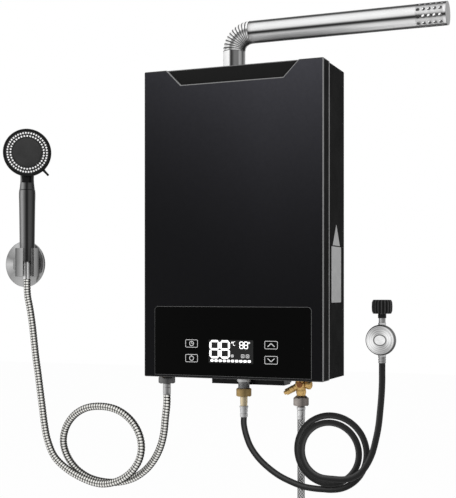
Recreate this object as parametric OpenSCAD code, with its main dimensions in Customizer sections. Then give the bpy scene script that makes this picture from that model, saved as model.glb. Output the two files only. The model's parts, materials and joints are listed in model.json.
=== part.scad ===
// Wall-hung propane water heater with flue pipe, hand shower, gas hose and regulator.
// Millimetres. X to the right, Y into the wall, Z up. Origin: centre of the case on the wall plane.

/* [Case] */
// Width of the case
case_w = 338; // [310:2:380]
// Height of the case
case_h = 550; // [530:5:640]
// Depth of the case from wall to front face
case_d = 130; // [128:1:150]
// Thickness of the steel sheet
sheet_t = 1.2; // [0.8:0.1:1.6]
// Depth of the front cover's sides
cover_d = 35; // [28:1:40]
// Length by which the rear shell slides into the front cover
cover_lap = 12; // [8:1:16]
// Slip gap between the front cover and the rear shell
cover_gap = 0.4; // [0.3:0.05:0.8]
// Bevel along the front edges of the cover
edge_bevel = 2.5; // [1.5:0.25:4]

/* [Front panel] */
// Width of the top recess at the top edge
recess_top_w = 248; // [200:2:270]
// Width of the top recess at its foot
recess_foot_w = 193; // [150:2:200]
// Height of the top recess
recess_h = 28; // [20:1:36]
// Depth of the top recess
recess_deep = 4; // [2:0.5:6]
// Width of the control glass
glass_w = 296; // [270:2:306]
// Height of the control glass
glass_h = 123; // [110:1:140]
// Thickness of the control glass
glass_t = 3; // [2:0.5:4]
// Height by which the glass stands proud of the cover
glass_proud = 0.6; // [0.2:0.1:1.2]
// Radius of the top corners of the glass
glass_r = 7; // [4:1:12]
// Width of the display
display_w = 84; // [70:2:96]
// Height of the display
display_h = 41; // [34:1:46]
// Height of the display's centre above the foot of the case
display_up = 48; // [42:1:56]
// Distance of the key columns from the middle
key_dx = 75; // [60:1:100]
// Distance between the two key rows
key_dz = 26; // [18:1:32]
// Width of a touch key
key_w = 24; // [18:1:30]
// Height of a touch key
key_h = 14; // [10:1:18]

/* [Wall fixing] */
// Diameter of the wall holes
wall_hole_d = 6.5; // [5:0.5:8]
// Distance between the wall holes across
wall_dx = 260; // [220:5:270]
// Distance between the wall holes upright
wall_dz = 470; // [420:5:480]

/* [Flue] */
// Outer diameter of the flue pipe
flue_d = 40; // [36:1:44]
// Wall of the flue pipe
flue_wall = 0.8; // [0.6:0.1:1.2]
// Distance of the flue from the middle of the case, to the left
flue_left = 19.5; // [0:0.5:30]
// Bend radius of the elbow at its centreline
elbow_r = 33; // [28:1:40]
// Number of ribs on the elbow
elbow_ribs = 15; // [10:1:18]
// Depth of an elbow rib
rib_deep = 1.6; // [1:0.2:2.4]
// Height of the pipe's axis above the case
flue_rise = 70; // [66:1:90]
// Length of the straight pipe
pipe_len = 352; // [250:2:420]
// Length of the perforated end
perf_len = 57; // [50:1:70]
// Columns of holes in the perforated end
perf_cols = 5; // [3:1:5]
// Diameter of a hole in the perforated end
perf_d = 5.4; // [4:0.2:6]
// Slip gap between the spigot and the turning sleeve
swivel_gap = 0.3; // [0.3:0.05:0.5]

/* [Fittings] */
// Distance of the pipe fittings from the wall
fit_y = 75; // [72:1:82]
// Hot outlet, to the left of the middle
hot_left = 150; // [145:0.5:152]
// Gas inlet, to the right of the middle
gas_right = 3; // [0:0.5:6]
// Cold inlet, to the right of the middle
cold_right = 111; // [108:0.5:125]
// Width over the flats of the hot union nut
hot_nut_af = 27; // [24:1:30]
// Width over the flats of the gas union nut
gas_nut_af = 24; // [22:1:27]
// Width over the flats of the cold union nut
cold_nut_af = 24; // [22:1:27]
// Outer diameter of a pipe thread
thread_d = 20.9; // [18:0.1:21]
// Inner bore of the water ways
water_bore = 9; // [7:0.5:10]

/* [Hoses] */
// Diameter of the shower hose
shower_hose_d = 14; // [12:0.5:14]
// Diameter of the gas hose
gas_hose_d = 11; // [9:0.5:11]
// Diameter of the braided supply hose
water_hose_d = 13; // [11:0.5:14]

/* [Hand shower] */
// Distance of the handset's axis to the left of the middle of the case
handset_left = 472; // [465:1:480]
// Distance of the handset's axis from the wall
handset_y = 45; // [43:1:50]
// Turn of the handset in its holder
handset_turn = 33; // [0:1:35]
// Diameter of the shower head
head_d = 94; // [84:1:96]
// Thickness of the shower head
head_t = 20; // [16:1:24]
// Diameter of the handle at its foot
handle_foot_d = 28.6; // [26:0.2:30]
// Diameter of the handle at its widest
handle_top_d = 32.6; // [30:0.2:34]
// Length of the handle below the neck
handle_len = 142; // [138:1:170]
// Length of the lever outside the head's rim
lever_len = 14; // [10:1:20]
// Diameter of a spray nozzle
nozzle_d = 3.2; // [2:0.1:3.4]
// Nozzles in the outer ring
nozzles_outer = 46; // [36:1:48]
// Nozzles in the inner ring
nozzles_inner = 36; // [28:1:38]

/* [Holder] */
// Diameter of the wall base
base_d = 94; // [80:1:100]
// Thickness of the wall base
base_t = 7; // [5:0.5:9]
// Sideways distance from the base's centre to the clip
clip_offset = 33; // [0:1:36]
// Outer diameter of the clip
clip_d = 47; // [44:0.5:50]
// Height of the clip
clip_h = 56; // [48:1:60]
// Width of the clip's front slot
clip_slot = 17; // [16.6:0.2:18]

/* [Regulator] */
// Diameter of the regulator
reg_d = 50; // [44:1:56]
// Diameter of the hand knob
knob_d = 35; // [32:0.5:40]
// Height of the hand knob
knob_h = 23.5; // [20:0.5:28]
// Ribs round the hand knob
knob_ribs = 18; // [12:1:24]
// Thread bore of the hand knob
tank_thread_d = 22; // [18:0.5:22]

/* [Heat engine] */
// Width of the exchanger and the combustion chamber
core_w = 200; // [180:2:206]
// Depth of the exchanger and the combustion chamber
core_d = 84; // [80:1:86]
// Height of the combustion chamber
chamber_h = 108; // [90:1:130]
// Height of the fin block
fins_h = 44; // [36:1:50]
// Number of fins
fin_count = 24; // [16:1:30]
// Height of the burner tray
burner_h = 50; // [44:1:56]
// Number of burner bars
burner_count = 9; // [6:1:10]
// Diameter of the exchanger's tubes
coil_tube_d = 12; // [10:0.5:13]
// Radius of the blower's scroll
scroll_r = 56; // [50:1:58]
// Width of the blower's scroll along its axle
scroll_w = 52; // [46:1:56]
// Blades of the impeller
blade_count = 16; // [10:1:20]

/* [Battery box] */
// Diameter of a cell
cell_d = 33.6; // [32:0.2:34]
// Length of a cell
cell_len = 61; // [58:0.5:61.5]
// Height by which the box hangs below the case
battery_drop = 15; // [12:1:20]

/* [Hidden] */
$fn = 64;

touch = 0.3;          // clearance between pieces that must not rub
seat = 0.05;          // clearance of a running fit
top_z = case_h / 2;
foot_z = -case_h / 2;
front_y = -case_d;
shell_t = sheet_t + cover_gap;             // step from the cover's outside to the shell's
shell_w = case_w - 2 * shell_t;
shell_h = case_h - 2 * shell_t;
seam_y = front_y + cover_d;                // rear edge of the front cover
drawn_w = 338;                             // case width that the water connections were placed for
shell_front_y = seam_y - cover_lap;
shell_top = shell_h / 2;
shell_foot = -shell_h / 2;

// ---- small helpers

// Box from its limits
module bar(x0, x1, y0, y1, z0, z1) {
    translate([x0, y0, z0]) cube([x1 - x0, y1 - y0, z1 - z0]);
}

// Upright tube
module tube(h, d, bore) {
    difference() {
        cylinder(h = h, d = d);
        translate([0, 0, -1]) cylinder(h = h + 2, d = bore);
    }
}

// Upright hexagon with its corners chamfered at both ends
module hex_bar(h, af) {
    corner = af / cos(30) / 2;
    drop = (corner - af / 2) * 0.7;
    intersection() {
        cylinder(h = h, r = corner, $fn = 6);
        rotate_extrude() polygon([[0, 0], [af / 2, 0], [corner, drop], [corner, h - drop], [af / 2, h], [0, h]]);
    }
}

// Rod between two points
module rod(a, b, d) {
    v = b - a;
    len = norm(v);
    translate(a) rotate([0, acos(v[2] / len), atan2(v[1], v[0])]) cylinder(h = len, d = d);
}

// Pipe through corner points, with a soldered elbow at each corner
module pipe_run(points, d) {
    for (i = [0:len(points) - 2]) rod(points[i], points[i + 1], d);
    for (i = [1:len(points) - 2]) translate(points[i]) sphere(d = d * 1.16);
}

// Lay something that stands along +Z along +Y
module along_y() {
    rotate([-90, 0, 0]) children();
}

// Lay something that stands along +Z along +X
module along_x() {
    rotate([0, 90, 0]) children();
}

// ---- swept tubes

function unit(v) = v / norm(v);

// Direction of a path at point i
function heading(path, i) = let (n = len(path))
    i == 0 ? unit(path[1] - path[0])
    : i == n - 1 ? unit(path[n - 1] - path[n - 2])
    : unit(unit(path[i + 1] - path[i]) + unit(path[i] - path[i - 1]));

// Side vectors carried along the path without twist
function side_vectors(path, i = 0, side = [0, 1, 0], found = []) =
    i == len(path) ? found
    : let (t = heading(path, i), s = unit(side - (side * t) * t))
        side_vectors(path, i + 1, s, concat(found, [s]));

// Ring of points round a path point
function ring(centre, t, side, r, sides) = let (up = cross(t, side))
    [for (k = [0:sides - 1]) let (a = 360 * k / sides)
        centre + r * (cos(a) * side + sin(a) * up)];

// Solid tube along a path, one ring at every path point
module swept(path, d, sides) {
    n = len(path);
    s = side_vectors(path);
    points = [for (i = [0:n - 1]) each ring(path[i], heading(path, i), s[i], d / 2, sides)];
    walls = [for (i = [0:n - 2]) for (k = [0:sides - 1]) let (a = i * sides + k,
        b = i * sides + (k + 1) % sides) each [[a, a + sides, b], [b, a + sides, b + sides]]];
    start = [for (k = [1:sides - 2]) [0, k, k + 1]];
    last = (n - 1) * sides;
    end = [for (k = [1:sides - 2]) [last, last + k + 1, last + k]];
    polyhedron(points, concat(walls, start, end));
}

// Least distance between the surfaces of two stretches of a path that are not neighbours
function least_gap(path, d, apart) = min([for (i = [0:len(path) - 1])
    for (j = [i + apart:1:len(path) - 1]) norm(path[i] - path[j])]) - d;

// ---- case

// Block with a bevel round its front face, wide w, high h, from y0 back to y1
module bevelled_block(w, h, y0, y1, b) {
    intersection() {
        translate([0, 0, -h / 2]) linear_extrude(h) polygon([[-w / 2, y1], [-w / 2, y0 + b],
            [-w / 2 + b, y0], [w / 2 - b, y0], [w / 2, y0 + b], [w / 2, y1]]);
        translate([-w / 2, 0, 0]) rotate([90, 0, 90]) linear_extrude(w) polygon([[y1, -h / 2],
            [y0 + b, -h / 2], [y0, -h / 2 + b], [y0, h / 2 - b], [y0 + b, h / 2], [y1, h / 2]]);
    }
}

// Recess at the top of the front, grown by g on its sides and foot
module top_recess(deep, g) {
    flare = (recess_top_w - recess_foot_w) / 2 / recess_h;
    translate([0, front_y + deep, 0]) rotate([90, 0, 0]) linear_extrude(deep + 5) polygon([
        [-recess_foot_w / 2 - g, top_z - recess_h - g],
        [recess_foot_w / 2 + g, top_z - recess_h - g],
        [recess_top_w / 2 + g + 4 * flare, top_z + 4],
        [-recess_top_w / 2 - g - 4 * flare, top_z + 4]]);
}

// Outline of the control glass, grown by g
module glass_outline(g) {
    w = glass_w + 2 * g;
    r = glass_r + g;
    translate([-w / 2, foot_z + glass_foot]) square([w, glass_h + g - r]);
    translate([-w / 2 + r, foot_z + glass_foot]) square([w - 2 * r, glass_h + g]);
    for (side = [-1, 1]) translate([side * (w / 2 - r), foot_z + glass_foot + glass_h + g - r]) circle(r);
}

glass_foot = 4;       // height of the glass above the foot of the case
glass_back_y = front_y - glass_proud + glass_t;
window_y = glass_back_y + sheet_t;         // back of the sheet behind the glass
display_z = foot_z + display_up;
screw_d = 3.4;
screw_x = case_w / 2 - 40;
screw_y = seam_y - cover_lap / 2;

module front_cover() {
    inner_bevel = edge_bevel - (2 - sqrt(2)) * sheet_t;
    color("#1b1b1d") difference() {
        bevelled_block(case_w, case_h, front_y, seam_y, edge_bevel);
        difference() {
            bevelled_block(case_w - 2 * sheet_t, case_h - 2 * sheet_t, front_y + sheet_t,
                seam_y + 1, inner_bevel);
            top_recess(recess_deep + sheet_t, sheet_t);
            translate([0, window_y, 0]) rotate([90, 0, 0]) linear_extrude(glass_t + sheet_t + 2)
                glass_outline(sheet_t);
        }
        top_recess(recess_deep, 0);
        translate([0, glass_back_y, 0]) rotate([90, 0, 0]) linear_extrude(glass_t + 5)
            glass_outline(cover_gap / 2);
        bar(-display_w / 2 - 1, display_w / 2 + 1, glass_back_y - 1, window_y + 1,
            display_z - display_h / 2 - 1, display_z + display_h / 2 + 1);
        for (x = key_columns) for (z = key_rows) translate([x, glass_back_y - 1, z])
            along_y() cylinder(h = sheet_t + 2, d = spring_d + 2);
        cover_screw_spots() cylinder(h = 20, d = screw_d, center = true);
    }
}

// The four cover screws: two through the top, two through the foot
module cover_screw_spots() {
    for (side = [-1, 1]) for (up = [-1, 1]) translate([side * screw_x, screw_y, up * (top_z - sheet_t)])
        rotate([up > 0 ? 0 : 180, 0, 0]) children();
}

module cover_screws() {
    color("#8d9094") cover_screw_spots() {
        translate([0, 0, sheet_t]) cylinder(h = 1.6, d = 7.5);
        translate([0, 0, -6]) cylinder(h = 6 + sheet_t + 0.5, d = screw_d - 0.2);
        translate([0, 0, -cover_gap - sheet_t - 2.4]) tube(2.4, 7, screw_d - 0.2);
    }
}

air_slots = 12;

module rear_shell() {
    color("#161617") difference() {
        bar(-shell_w / 2, shell_w / 2, shell_front_y, 0, shell_foot, shell_top);
        bar(-shell_w / 2 + sheet_t, shell_w / 2 - sheet_t, shell_front_y - 1, -sheet_t,
            shell_foot + sheet_t, shell_top - sheet_t);
        for (x = [-1, 1]) for (z = [-1, 1]) translate([x * wall_dx / 2, -sheet_t - 1, z * wall_dz / 2])
            along_y() cylinder(h = sheet_t + 2, d = wall_hole_d);
        translate([flue_x, flue_y, shell_top - sheet_t - 1]) cylinder(h = sheet_t + 2, d = spigot_d + 1);
        for (x = [hot_x, gas_x, cold_x]) translate([x, -fit_y, shell_foot - 1])
            cylinder(h = sheet_t + 2, d = thread_d + 1);
        bar(battery_x - battery_w / 2 - touch, battery_x + battery_w / 2 + touch,
            battery_y0 - touch, battery_y1 + touch, shell_foot - 1, shell_foot + sheet_t + 1);
        cover_screw_spots() cylinder(h = 20, d = screw_d, center = true);
        for (i = [0:air_slots - 1]) bar(-140 + i * 7, -136 + i * 7, -50, -15,
            shell_foot - 1, shell_foot + sheet_t + 1);
    }
}

module control_glass() {
    color("#050506") translate([0, glass_back_y, 0]) rotate([90, 0, 0])
        linear_extrude(glass_t) glass_outline(0);
}

display_t = 5;
board_t = 1.6;
board_y = window_y + display_t;            // front of the control board
board_w = 2 * key_dx + key_w + 20;
board_h = key_dz + key_h + 12;
board_z = display_z;
spring_d = 9;
key_columns = [-key_dx, key_dx];
key_rows = [display_z - key_dz / 2, display_z + key_dz / 2];

module display_module() {
    color("#23262b") bar(-display_w / 2, display_w / 2, glass_back_y, board_y,
        display_z - display_h / 2, display_z + display_h / 2);
}

module touch_springs() {
    color("#c9b37a") for (x = key_columns) for (z = key_rows)
        translate([x, glass_back_y, z]) along_y() tube(board_y - glass_back_y, spring_d, spring_d - 2);
}

module control_board() {
    post_x = board_w / 2 - 6;
    post_z = board_h / 2 - 6;
    color("#1f5c37") {
        difference() {
            bar(-board_w / 2, board_w / 2, board_y, board_y + board_t,
                board_z - board_h / 2, board_z + board_h / 2);
            for (x = [-1, 1]) for (z = [-1, 1]) translate([x * post_x, board_y - 1, board_z + z * post_z])
                along_y() cylinder(h = board_t + 2, d = 3.2);
        }
        bar(-60, -30, board_y + board_t, board_y + board_t + 9, board_z - 8, board_z + 14);
        bar(-16, 12, board_y + board_t, board_y + board_t + 4, board_z - 10, board_z + 12);
        bar(30, 62, board_y + board_t, board_y + board_t + 11, board_z - 4, board_z + 12);
    }
    color("#b9bcc0") for (x = [-1, 1]) for (z = [-1, 1])
        translate([x * post_x, window_y, board_z + z * post_z]) along_y() {
            cylinder(h = board_y - window_y, d = 6);
            cylinder(h = board_y - window_y + board_t + 1.4, d = 3);
        }
}

arrow_w = 44;
arrow_h = 137;
arrow_up = 271;                            // tip of the arrow above the case's foot

module side_arrow() {
    x = shell_w / 2;
    y = -49;
    head_h = 37;
    strip_w = 64;
    color("#8f9296") translate([x, y, foot_z + arrow_up]) rotate([90, 0, 90]) linear_extrude(0.25) polygon([
        [0, 0], [arrow_w / 2, -head_h], [strip_w / 2, -head_h], [strip_w / 2, -arrow_h],
        [-strip_w / 2, -arrow_h], [-strip_w / 2, -head_h], [-arrow_w / 2, -head_h]]);
}

// ---- flue

flue_x = -flue_left;
flue_y = -case_d / 2;
sleeve_bore = flue_d - 2 * flue_wall;
spigot_d = sleeve_bore - 2 * swivel_gap;
gasket_t = 1.5;
flange_t = 2;
flange_d = 56;
flange_top = shell_top + gasket_t + flange_t;
pipe_z = top_z + flue_rise;
elbow_z = pipe_z - elbow_r;                // foot of the elbow
pipe_x = flue_x + elbow_r;                 // left end of the straight pipe
pipe_end = pipe_x + pipe_len;

module flue_gasket() {
    color("#7a2a22") translate([flue_x, flue_y, shell_top]) tube(gasket_t, flange_d, spigot_d + 0.4);
}

module flue_collar() {
    color("#b8babd") translate([flue_x, flue_y, 0]) {
        translate([0, 0, flange_top - flange_t]) tube(flange_t, flange_d, spigot_d - 1);
        translate([0, 0, outlet_top]) tube(elbow_z - 4 - outlet_top, spigot_d, spigot_d - 2 * flue_wall);
    }
}

module flue_sleeve() {
    color("#c7c9cb") translate([flue_x, flue_y, flange_top + touch]) {
        tube(elbow_z - flange_top - touch, flue_d, sleeve_bore);
        tube(3, flue_d + 3, sleeve_bore);
    }
}

elbow_sides = 28;
function elbow_point(a, r, phi) = [
    flue_x + elbow_r - (elbow_r + r * cos(phi)) * cos(a),
    flue_y + r * sin(phi),
    elbow_z + (elbow_r + r * cos(phi)) * sin(a)];

module flue_elbow() {
    steps = 2 * elbow_ribs;
    outer = [for (i = [0:steps]) let (a = 90 * i / steps, r = flue_d / 2 - (i % 2) * rib_deep)
        for (k = [0:elbow_sides - 1]) elbow_point(a, r, 360 * k / elbow_sides)];
    inner = [for (i = [0:steps]) let (a = 90 * i / steps, r = flue_d / 2 - rib_deep - flue_wall)
        for (k = [0:elbow_sides - 1]) elbow_point(a, r, 360 * k / elbow_sides)];
    m = elbow_sides;
    far = len(outer);
    outer_faces = [for (i = [0:steps - 1]) for (k = [0:m - 1]) let (a = i * m + k,
        b = i * m + (k + 1) % m) each [[a, b, a + m], [b, b + m, a + m]]];
    inner_faces = [for (i = [0:steps - 1]) for (k = [0:m - 1]) let (a = far + i * m + k,
        b = far + i * m + (k + 1) % m) each [[a, a + m, b], [b, a + m, b + m]]];
    foot = [for (k = [0:m - 1]) let (a = k, b = (k + 1) % m)
        each [[a, far + a, b], [b, far + a, far + b]]];
    last = steps * m;
    end = [for (k = [0:m - 1]) let (a = last + k, b = last + (k + 1) % m)
        each [[a, b, far + a], [b, far + b, far + a]]];
    color("#c3c5c8") polyhedron(concat(outer, inner), concat(outer_faces, inner_faces, foot, end));
}

perf_rows = 10;
perf_pitch = (perf_len - 10) / perf_cols;

module flue_pipe() {
    color("#d0d2d5") translate([pipe_x, flue_y, pipe_z]) along_x() difference() {
        union() {
            cylinder(h = pipe_len, d = flue_d);
            translate([0, 0, 0]) cylinder(h = 3, d = flue_d + 3);
        }
        translate([0, 0, -1]) cylinder(h = pipe_len + 2, d = sleeve_bore);
        for (c = [0:perf_cols - 1]) for (r = [0:perf_rows / 2 - 1])
            translate([0, 0, pipe_len - 9 - c * perf_pitch]) rotate([90, 0, r * 360 / perf_rows])
                cylinder(h = flue_d + 4, d = perf_d, center = true);
    }
}

module flue_cap() {
    color("#c7c9cb") translate([pipe_end, flue_y, pipe_z]) along_x() {
        cylinder(h = 1, d = flue_d);
        translate([0, 0, -4]) cylinder(h = 4, d = sleeve_bore - 0.2);
    }
}

// ---- blower

outlet_w = 42;
scroll_z = shell_top - sheet_t - 26 - scroll_r;    // axle height
scroll_x = flue_x + scroll_r - outlet_w / 2;
scroll_y0 = flue_y - scroll_w / 2;
scroll_y1 = flue_y + scroll_w / 2;
outlet_top = shell_top - sheet_t - 6;
duct_t = 1.2;
impeller_r = scroll_r - 9;
hub_d = 12;
axle_d = 5;
eye_d = 62;

module scroll_shape(g) {
    along_y() translate([0, 0, -g]) cylinder(h = scroll_w + 2 * g, r = scroll_r + g);
}

module fan_housing() {
    color("#9fa3a8") difference() {
        union() {
            translate([scroll_x, scroll_y0, scroll_z]) scroll_shape(0);
            bar(flue_x - outlet_w / 2, flue_x + outlet_w / 2, scroll_y0, scroll_y1, scroll_z, outlet_top);
            translate([flue_x, flue_y, outlet_top - 1]) cylinder(h = 7, d = outlet_w + 4);
        }
        translate([scroll_x, scroll_y0, scroll_z]) scroll_shape(-duct_t);
        bar(flue_x - outlet_w / 2 + duct_t, flue_x + outlet_w / 2 - duct_t, scroll_y0 + duct_t,
            scroll_y1 - duct_t, scroll_z, outlet_top - duct_t);
        translate([flue_x, flue_y, outlet_top - 5]) cylinder(h = 5 + seat, d = spigot_d - 3);
        translate([flue_x, flue_y, outlet_top]) cylinder(h = 8, d = spigot_d + 0.4);
        translate([scroll_x, scroll_y1 - 5, scroll_z]) along_y() cylinder(h = 10, d = eye_d);
        translate([scroll_x, scroll_y0 - 5, scroll_z]) along_y() cylinder(h = 10, d = axle_d + 2);
    }
}

module fan_impeller() {
    color("#c9cbce") translate([scroll_x, scroll_y0, scroll_z]) along_y() {
        translate([0, 0, 4]) difference() {
            cylinder(h = 2, r = impeller_r);
            translate([0, 0, -1]) cylinder(h = 5, d = axle_d + 2 * seat);
        }
        translate([0, 0, 4]) tube(14, hub_d, axle_d + 2 * seat);
        for (i = [0:blade_count - 1]) rotate([0, 0, i * 360 / blade_count])
            translate([impeller_r - 12, -0.5, 5]) cube([10, 1, scroll_w - 16]);
        translate([0, 0, scroll_w - 13]) tube(2, 2 * impeller_r, 2 * impeller_r - 26);
    }
}

motor_d = 46;
motor_len = 20;

module fan_motor() {
    color("#3a3d42") translate([scroll_x, scroll_y0, scroll_z]) along_y() {
        translate([0, 0, -motor_len]) cylinder(h = motor_len, d = motor_d);
        translate([0, 0, -2]) cylinder(h = 19, d = axle_d);
    }
}

// ---- exhaust hood, exchanger, chamber and burner

core_x0 = -core_w / 2;
core_x1 = core_w / 2;
core_y1 = -22;
core_y0 = core_y1 - core_d;
hood_h = 30;
hood_top = scroll_z - scroll_r - 3;
fins_top = hood_top - hood_h;
chamber_top = fins_top - fins_h;
chamber_foot = chamber_top - chamber_h;
gas_x = gas_right;
gas_rise_x = gas_x - 18;                   // the gas pipe inside the case
burner_foot = chamber_foot - burner_h;
wall_in_y = -sheet_t;                      // inner face of the shell's back

module exhaust_hood() {
    riser_x0 = scroll_x - eye_d / 2 - 4;
    riser_x1 = scroll_x + eye_d / 2 + 4;
    riser_top = scroll_z + eye_d / 2 + 4;
    color("#8f9499") difference() {
        union() {
            bar(core_x0, core_x1, core_y0, core_y1, fins_top, hood_top);
            bar(riser_x0, riser_x1, scroll_y1, wall_in_y, fins_top + 10, riser_top);
        }
        bar(core_x0 + duct_t, core_x1 - duct_t, core_y0 + duct_t, core_y1 - duct_t,
            fins_top - 1, hood_top - duct_t);
        bar(riser_x0 + duct_t, riser_x1 - duct_t, scroll_y1 + duct_t, wall_in_y - duct_t,
            fins_top + 10 + duct_t, riser_top - duct_t);
        translate([scroll_x, scroll_y1 - 1, scroll_z]) along_y() cylinder(h = duct_t + 2, d = eye_d);
    }
}

tube_count = 5;
tube_pitch = (core_d - 2 * 6 - coil_tube_d) / (tube_count - 1);
tube_z = chamber_top + fins_h / 2;
function tube_y(i) = core_y0 + 6 + coil_tube_d / 2 + i * tube_pitch;

module exchanger_fins() {
    pitch = (core_w - 12) / (fin_count - 1);
    color("#b87333") {
        for (i = [0:fin_count - 1]) translate([core_x0 + 6 + i * pitch - 0.4, 0, 0])
            rotate([90, 0, 90]) linear_extrude(0.8) difference() {
                translate([core_y0 + 1, chamber_top + 4]) square([core_d - 2, fins_h - 8]);
                for (k = [0:tube_count - 1]) translate([tube_y(k), tube_z]) circle(d = coil_tube_d + 2 * seat);
            }
        difference() {
            bar(core_x0, core_x1, core_y0, core_y1, chamber_top, fins_top);
            bar(core_x0 + 1, core_x1 - 1, core_y0 + 1, core_y1 - 1, chamber_top - 1, fins_top + 1);
            for (k = [0:tube_count - 1]) translate([core_x0 - 1, tube_y(k), tube_z])
                along_x() cylinder(h = core_w + 2, d = coil_tube_d + 2 * seat);
        }
    }
}

tube_end = core_x1 + 5;

module exchanger_tubes() {
    color("#c07f45") {
        for (k = [0:tube_count - 1]) translate([-tube_end, tube_y(k), tube_z])
            along_x() tube(2 * tube_end, coil_tube_d, coil_tube_d - 2);
        for (k = [0:tube_count - 2]) let (side = k % 2 == 0 ? -1 : 1)
            translate([side * tube_end, (tube_y(k) + tube_y(k + 1)) / 2, tube_z])
                rotate([0, 0, side > 0 ? -90 : 90]) rotate_extrude(angle = 180)
                    translate([tube_pitch / 2, 0]) difference() {
                        circle(d = coil_tube_d);
                        circle(d = coil_tube_d - 2);
                    }
    }
}

module combustion_chamber() {
    strap_w = 14;
    color("#b0743d") difference() {
        union() {
            bar(core_x0, core_x1, core_y0, core_y1, chamber_foot, chamber_top);
            for (x = [-1, 1]) for (z = [chamber_foot + 10, chamber_top - 24])
                bar(x * 70 - strap_w / 2, x * 70 + strap_w / 2, core_y1 - 1, wall_in_y, z, z + strap_w);
        }
        bar(core_x0 + 1, core_x1 - 1, core_y0 + 1, core_y1 - 1, chamber_foot - 1, chamber_top + 1);
        for (x = electrode_spots) translate([x, core_y0 - 1, electrode_z]) along_y()
            cylinder(h = 3, d = insulator_d + 2 * seat);
    }
}

electrode_spots = [-24, 0, 24];
electrode_z = chamber_foot + 10;
insulator_d = 6;
lead_d = 2.6;
bar_w = 7;
bar_pitch = (core_w - 30) / (burner_count - 1);

module burner_tray() {
    color("#8b8f94") difference() {
        bar(core_x0, core_x1, core_y0, core_y1, burner_foot, chamber_foot);
        bar(core_x0 + 1, core_x1 - 1, core_y0 + 1, core_y1 - 1, burner_foot + 2, chamber_foot + 1);
        for (i = [0:burner_count - 1]) translate([core_x0 + 15 + i * bar_pitch, core_y0 - 1, jet_z])
            along_y() cylinder(h = 4, d = 9);
    }
}

jet_z = burner_foot + 14;

module burner_bars() {
    color("#a9adb2") for (i = [0:burner_count - 1]) translate([core_x0 + 15 + i * bar_pitch, 0, 0]) {
        difference() {
            bar(-bar_w / 2, bar_w / 2, core_y0 + 6, core_y1 - 6, burner_foot + 2, chamber_foot - 4);
            for (k = [0:8]) bar(-1, 1, core_y0 + 11 + k * 7, core_y0 + 14 + k * 7,
                chamber_foot - 8, chamber_foot - 3);
            translate([0, core_y0 + 5, jet_z]) along_y() cylinder(h = 26, d = 5);
        }
    }
}

manifold_d = 12;
inlet_len = 10;
manifold_y = core_y0 - 4 - manifold_d / 2;

module gas_manifold() {
    color("#b5a36a") {
        translate([core_x0 + 8, manifold_y, jet_z]) along_x() cylinder(h = core_w - 16, d = manifold_d);
        for (i = [0:burner_count - 1]) translate([core_x0 + 15 + i * bar_pitch, manifold_y, jet_z])
            along_y() cylinder(h = manifold_d / 2 + 8, d = 4);
        translate([gas_rise_x, manifold_y, jet_z - inlet_len]) cylinder(h = inlet_len, d = manifold_d);
        for (x = [-1, 1]) bar(x * (core_w / 2 - 12) - 4, x * (core_w / 2 - 12) + 4,
            manifold_y, core_y0, burner_foot, jet_z - 3);
    }
}

module electrodes() {
    color("#e8e4da") for (x = electrode_spots) translate([x, core_y0 - 10, electrode_z]) along_y()
        tube(16, insulator_d, 1.5);
    color("#9a9da1") for (x = electrode_spots) translate([x, core_y0 - 13, electrode_z]) along_y()
        cylinder(h = 36, d = 1.5);
    color("#9a9da1") difference() {
        bar(-34, 34, core_y0 - 2, core_y0, electrode_z - 8, electrode_z + 8);
        for (x = electrode_spots) translate([x, core_y0 - 3, electrode_z]) along_y()
            cylinder(h = 4, d = insulator_d);
    }
}

spark_w = 36;
spark_z = chamber_foot - 20;

module spark_module() {
    x1 = shell_w / 2 - sheet_t;
    lead_x = x1 - 12;
    lead_y = core_y0 - 13 - lead_d / 2;
    lead_z = chamber_foot + 24;
    color("#26282c") {
        bar(x1 - 24, x1, -62, -18, spark_z - spark_w, spark_z);
        translate([lead_x, -40, spark_z]) cylinder(h = 8, d = 8);
    }
    color("#b3483a") pipe_run([[lead_x, -40, spark_z + 7], [lead_x, -40, lead_z],
        [lead_x, lead_y, lead_z], [electrode_spots[2], lead_y, lead_z],
        [electrode_spots[2], lead_y, electrode_z - 2]], lead_d);
}

// ---- gas side

valve_foot = foot_z + 56;
valve_h = 44;
valve_top = valve_foot + valve_h;
valve_w = 60;
valve_y0 = -fit_y - 22;
valve_y1 = -fit_y + 22;
coil_d = 26;
coil_len = 26;
coil_z = valve_foot + valve_h / 2;
plunger_d = 9;
plunger_bore = plunger_d + 2 * seat;
plunger_len = 22;
plunger_travel = 3;
spring_len = 8;

module gas_valve() {
    color("#9ba0a6") difference() {
        union() {
            bar(gas_x - valve_w / 2, gas_x + valve_w / 2, valve_y0, valve_y1, valve_foot, valve_top);
            translate([gas_x + valve_w / 2 - 1, -fit_y, coil_z]) along_x() cylinder(h = coil_len + 1, d = coil_d);
            bar(gas_x - 10, gas_x + 10, valve_y1 - 1, wall_in_y, valve_foot + 8, valve_foot + 20);
        }
        translate([gas_x + valve_w / 2 - 14, -fit_y, coil_z]) along_x()
            cylinder(h = plunger_len + plunger_travel + spring_len, d = plunger_bore);
        translate([gas_x, -fit_y, valve_foot - 1]) cylinder(h = 14, d = 12);
    }
}

module gas_plunger() {
    color("#d6d8da") translate([gas_x + valve_w / 2 - 14, -fit_y, coil_z]) along_x()
        cylinder(h = plunger_len, d = plunger_d);
}

module plunger_spring() {
    start = gas_x + valve_w / 2 - 14 + plunger_len + 0.05;
    span = plunger_travel + spring_len - 0.1;
    turns = 4;
    wire = 0.9;
    steps = 8 * turns;
    coil = [for (i = [0:steps]) let (a = 360 * i / 8)
        [start + wire / 2 + (span - wire) * i / steps, -fit_y + 3 * cos(a), coil_z + 3 * sin(a)]];
    echo("plunger spring gap", least_gap(coil, wire, 7));
    color("#aeb2b6") swept(coil, wire, 6);
}

gas_pipe_d = 9;

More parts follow.
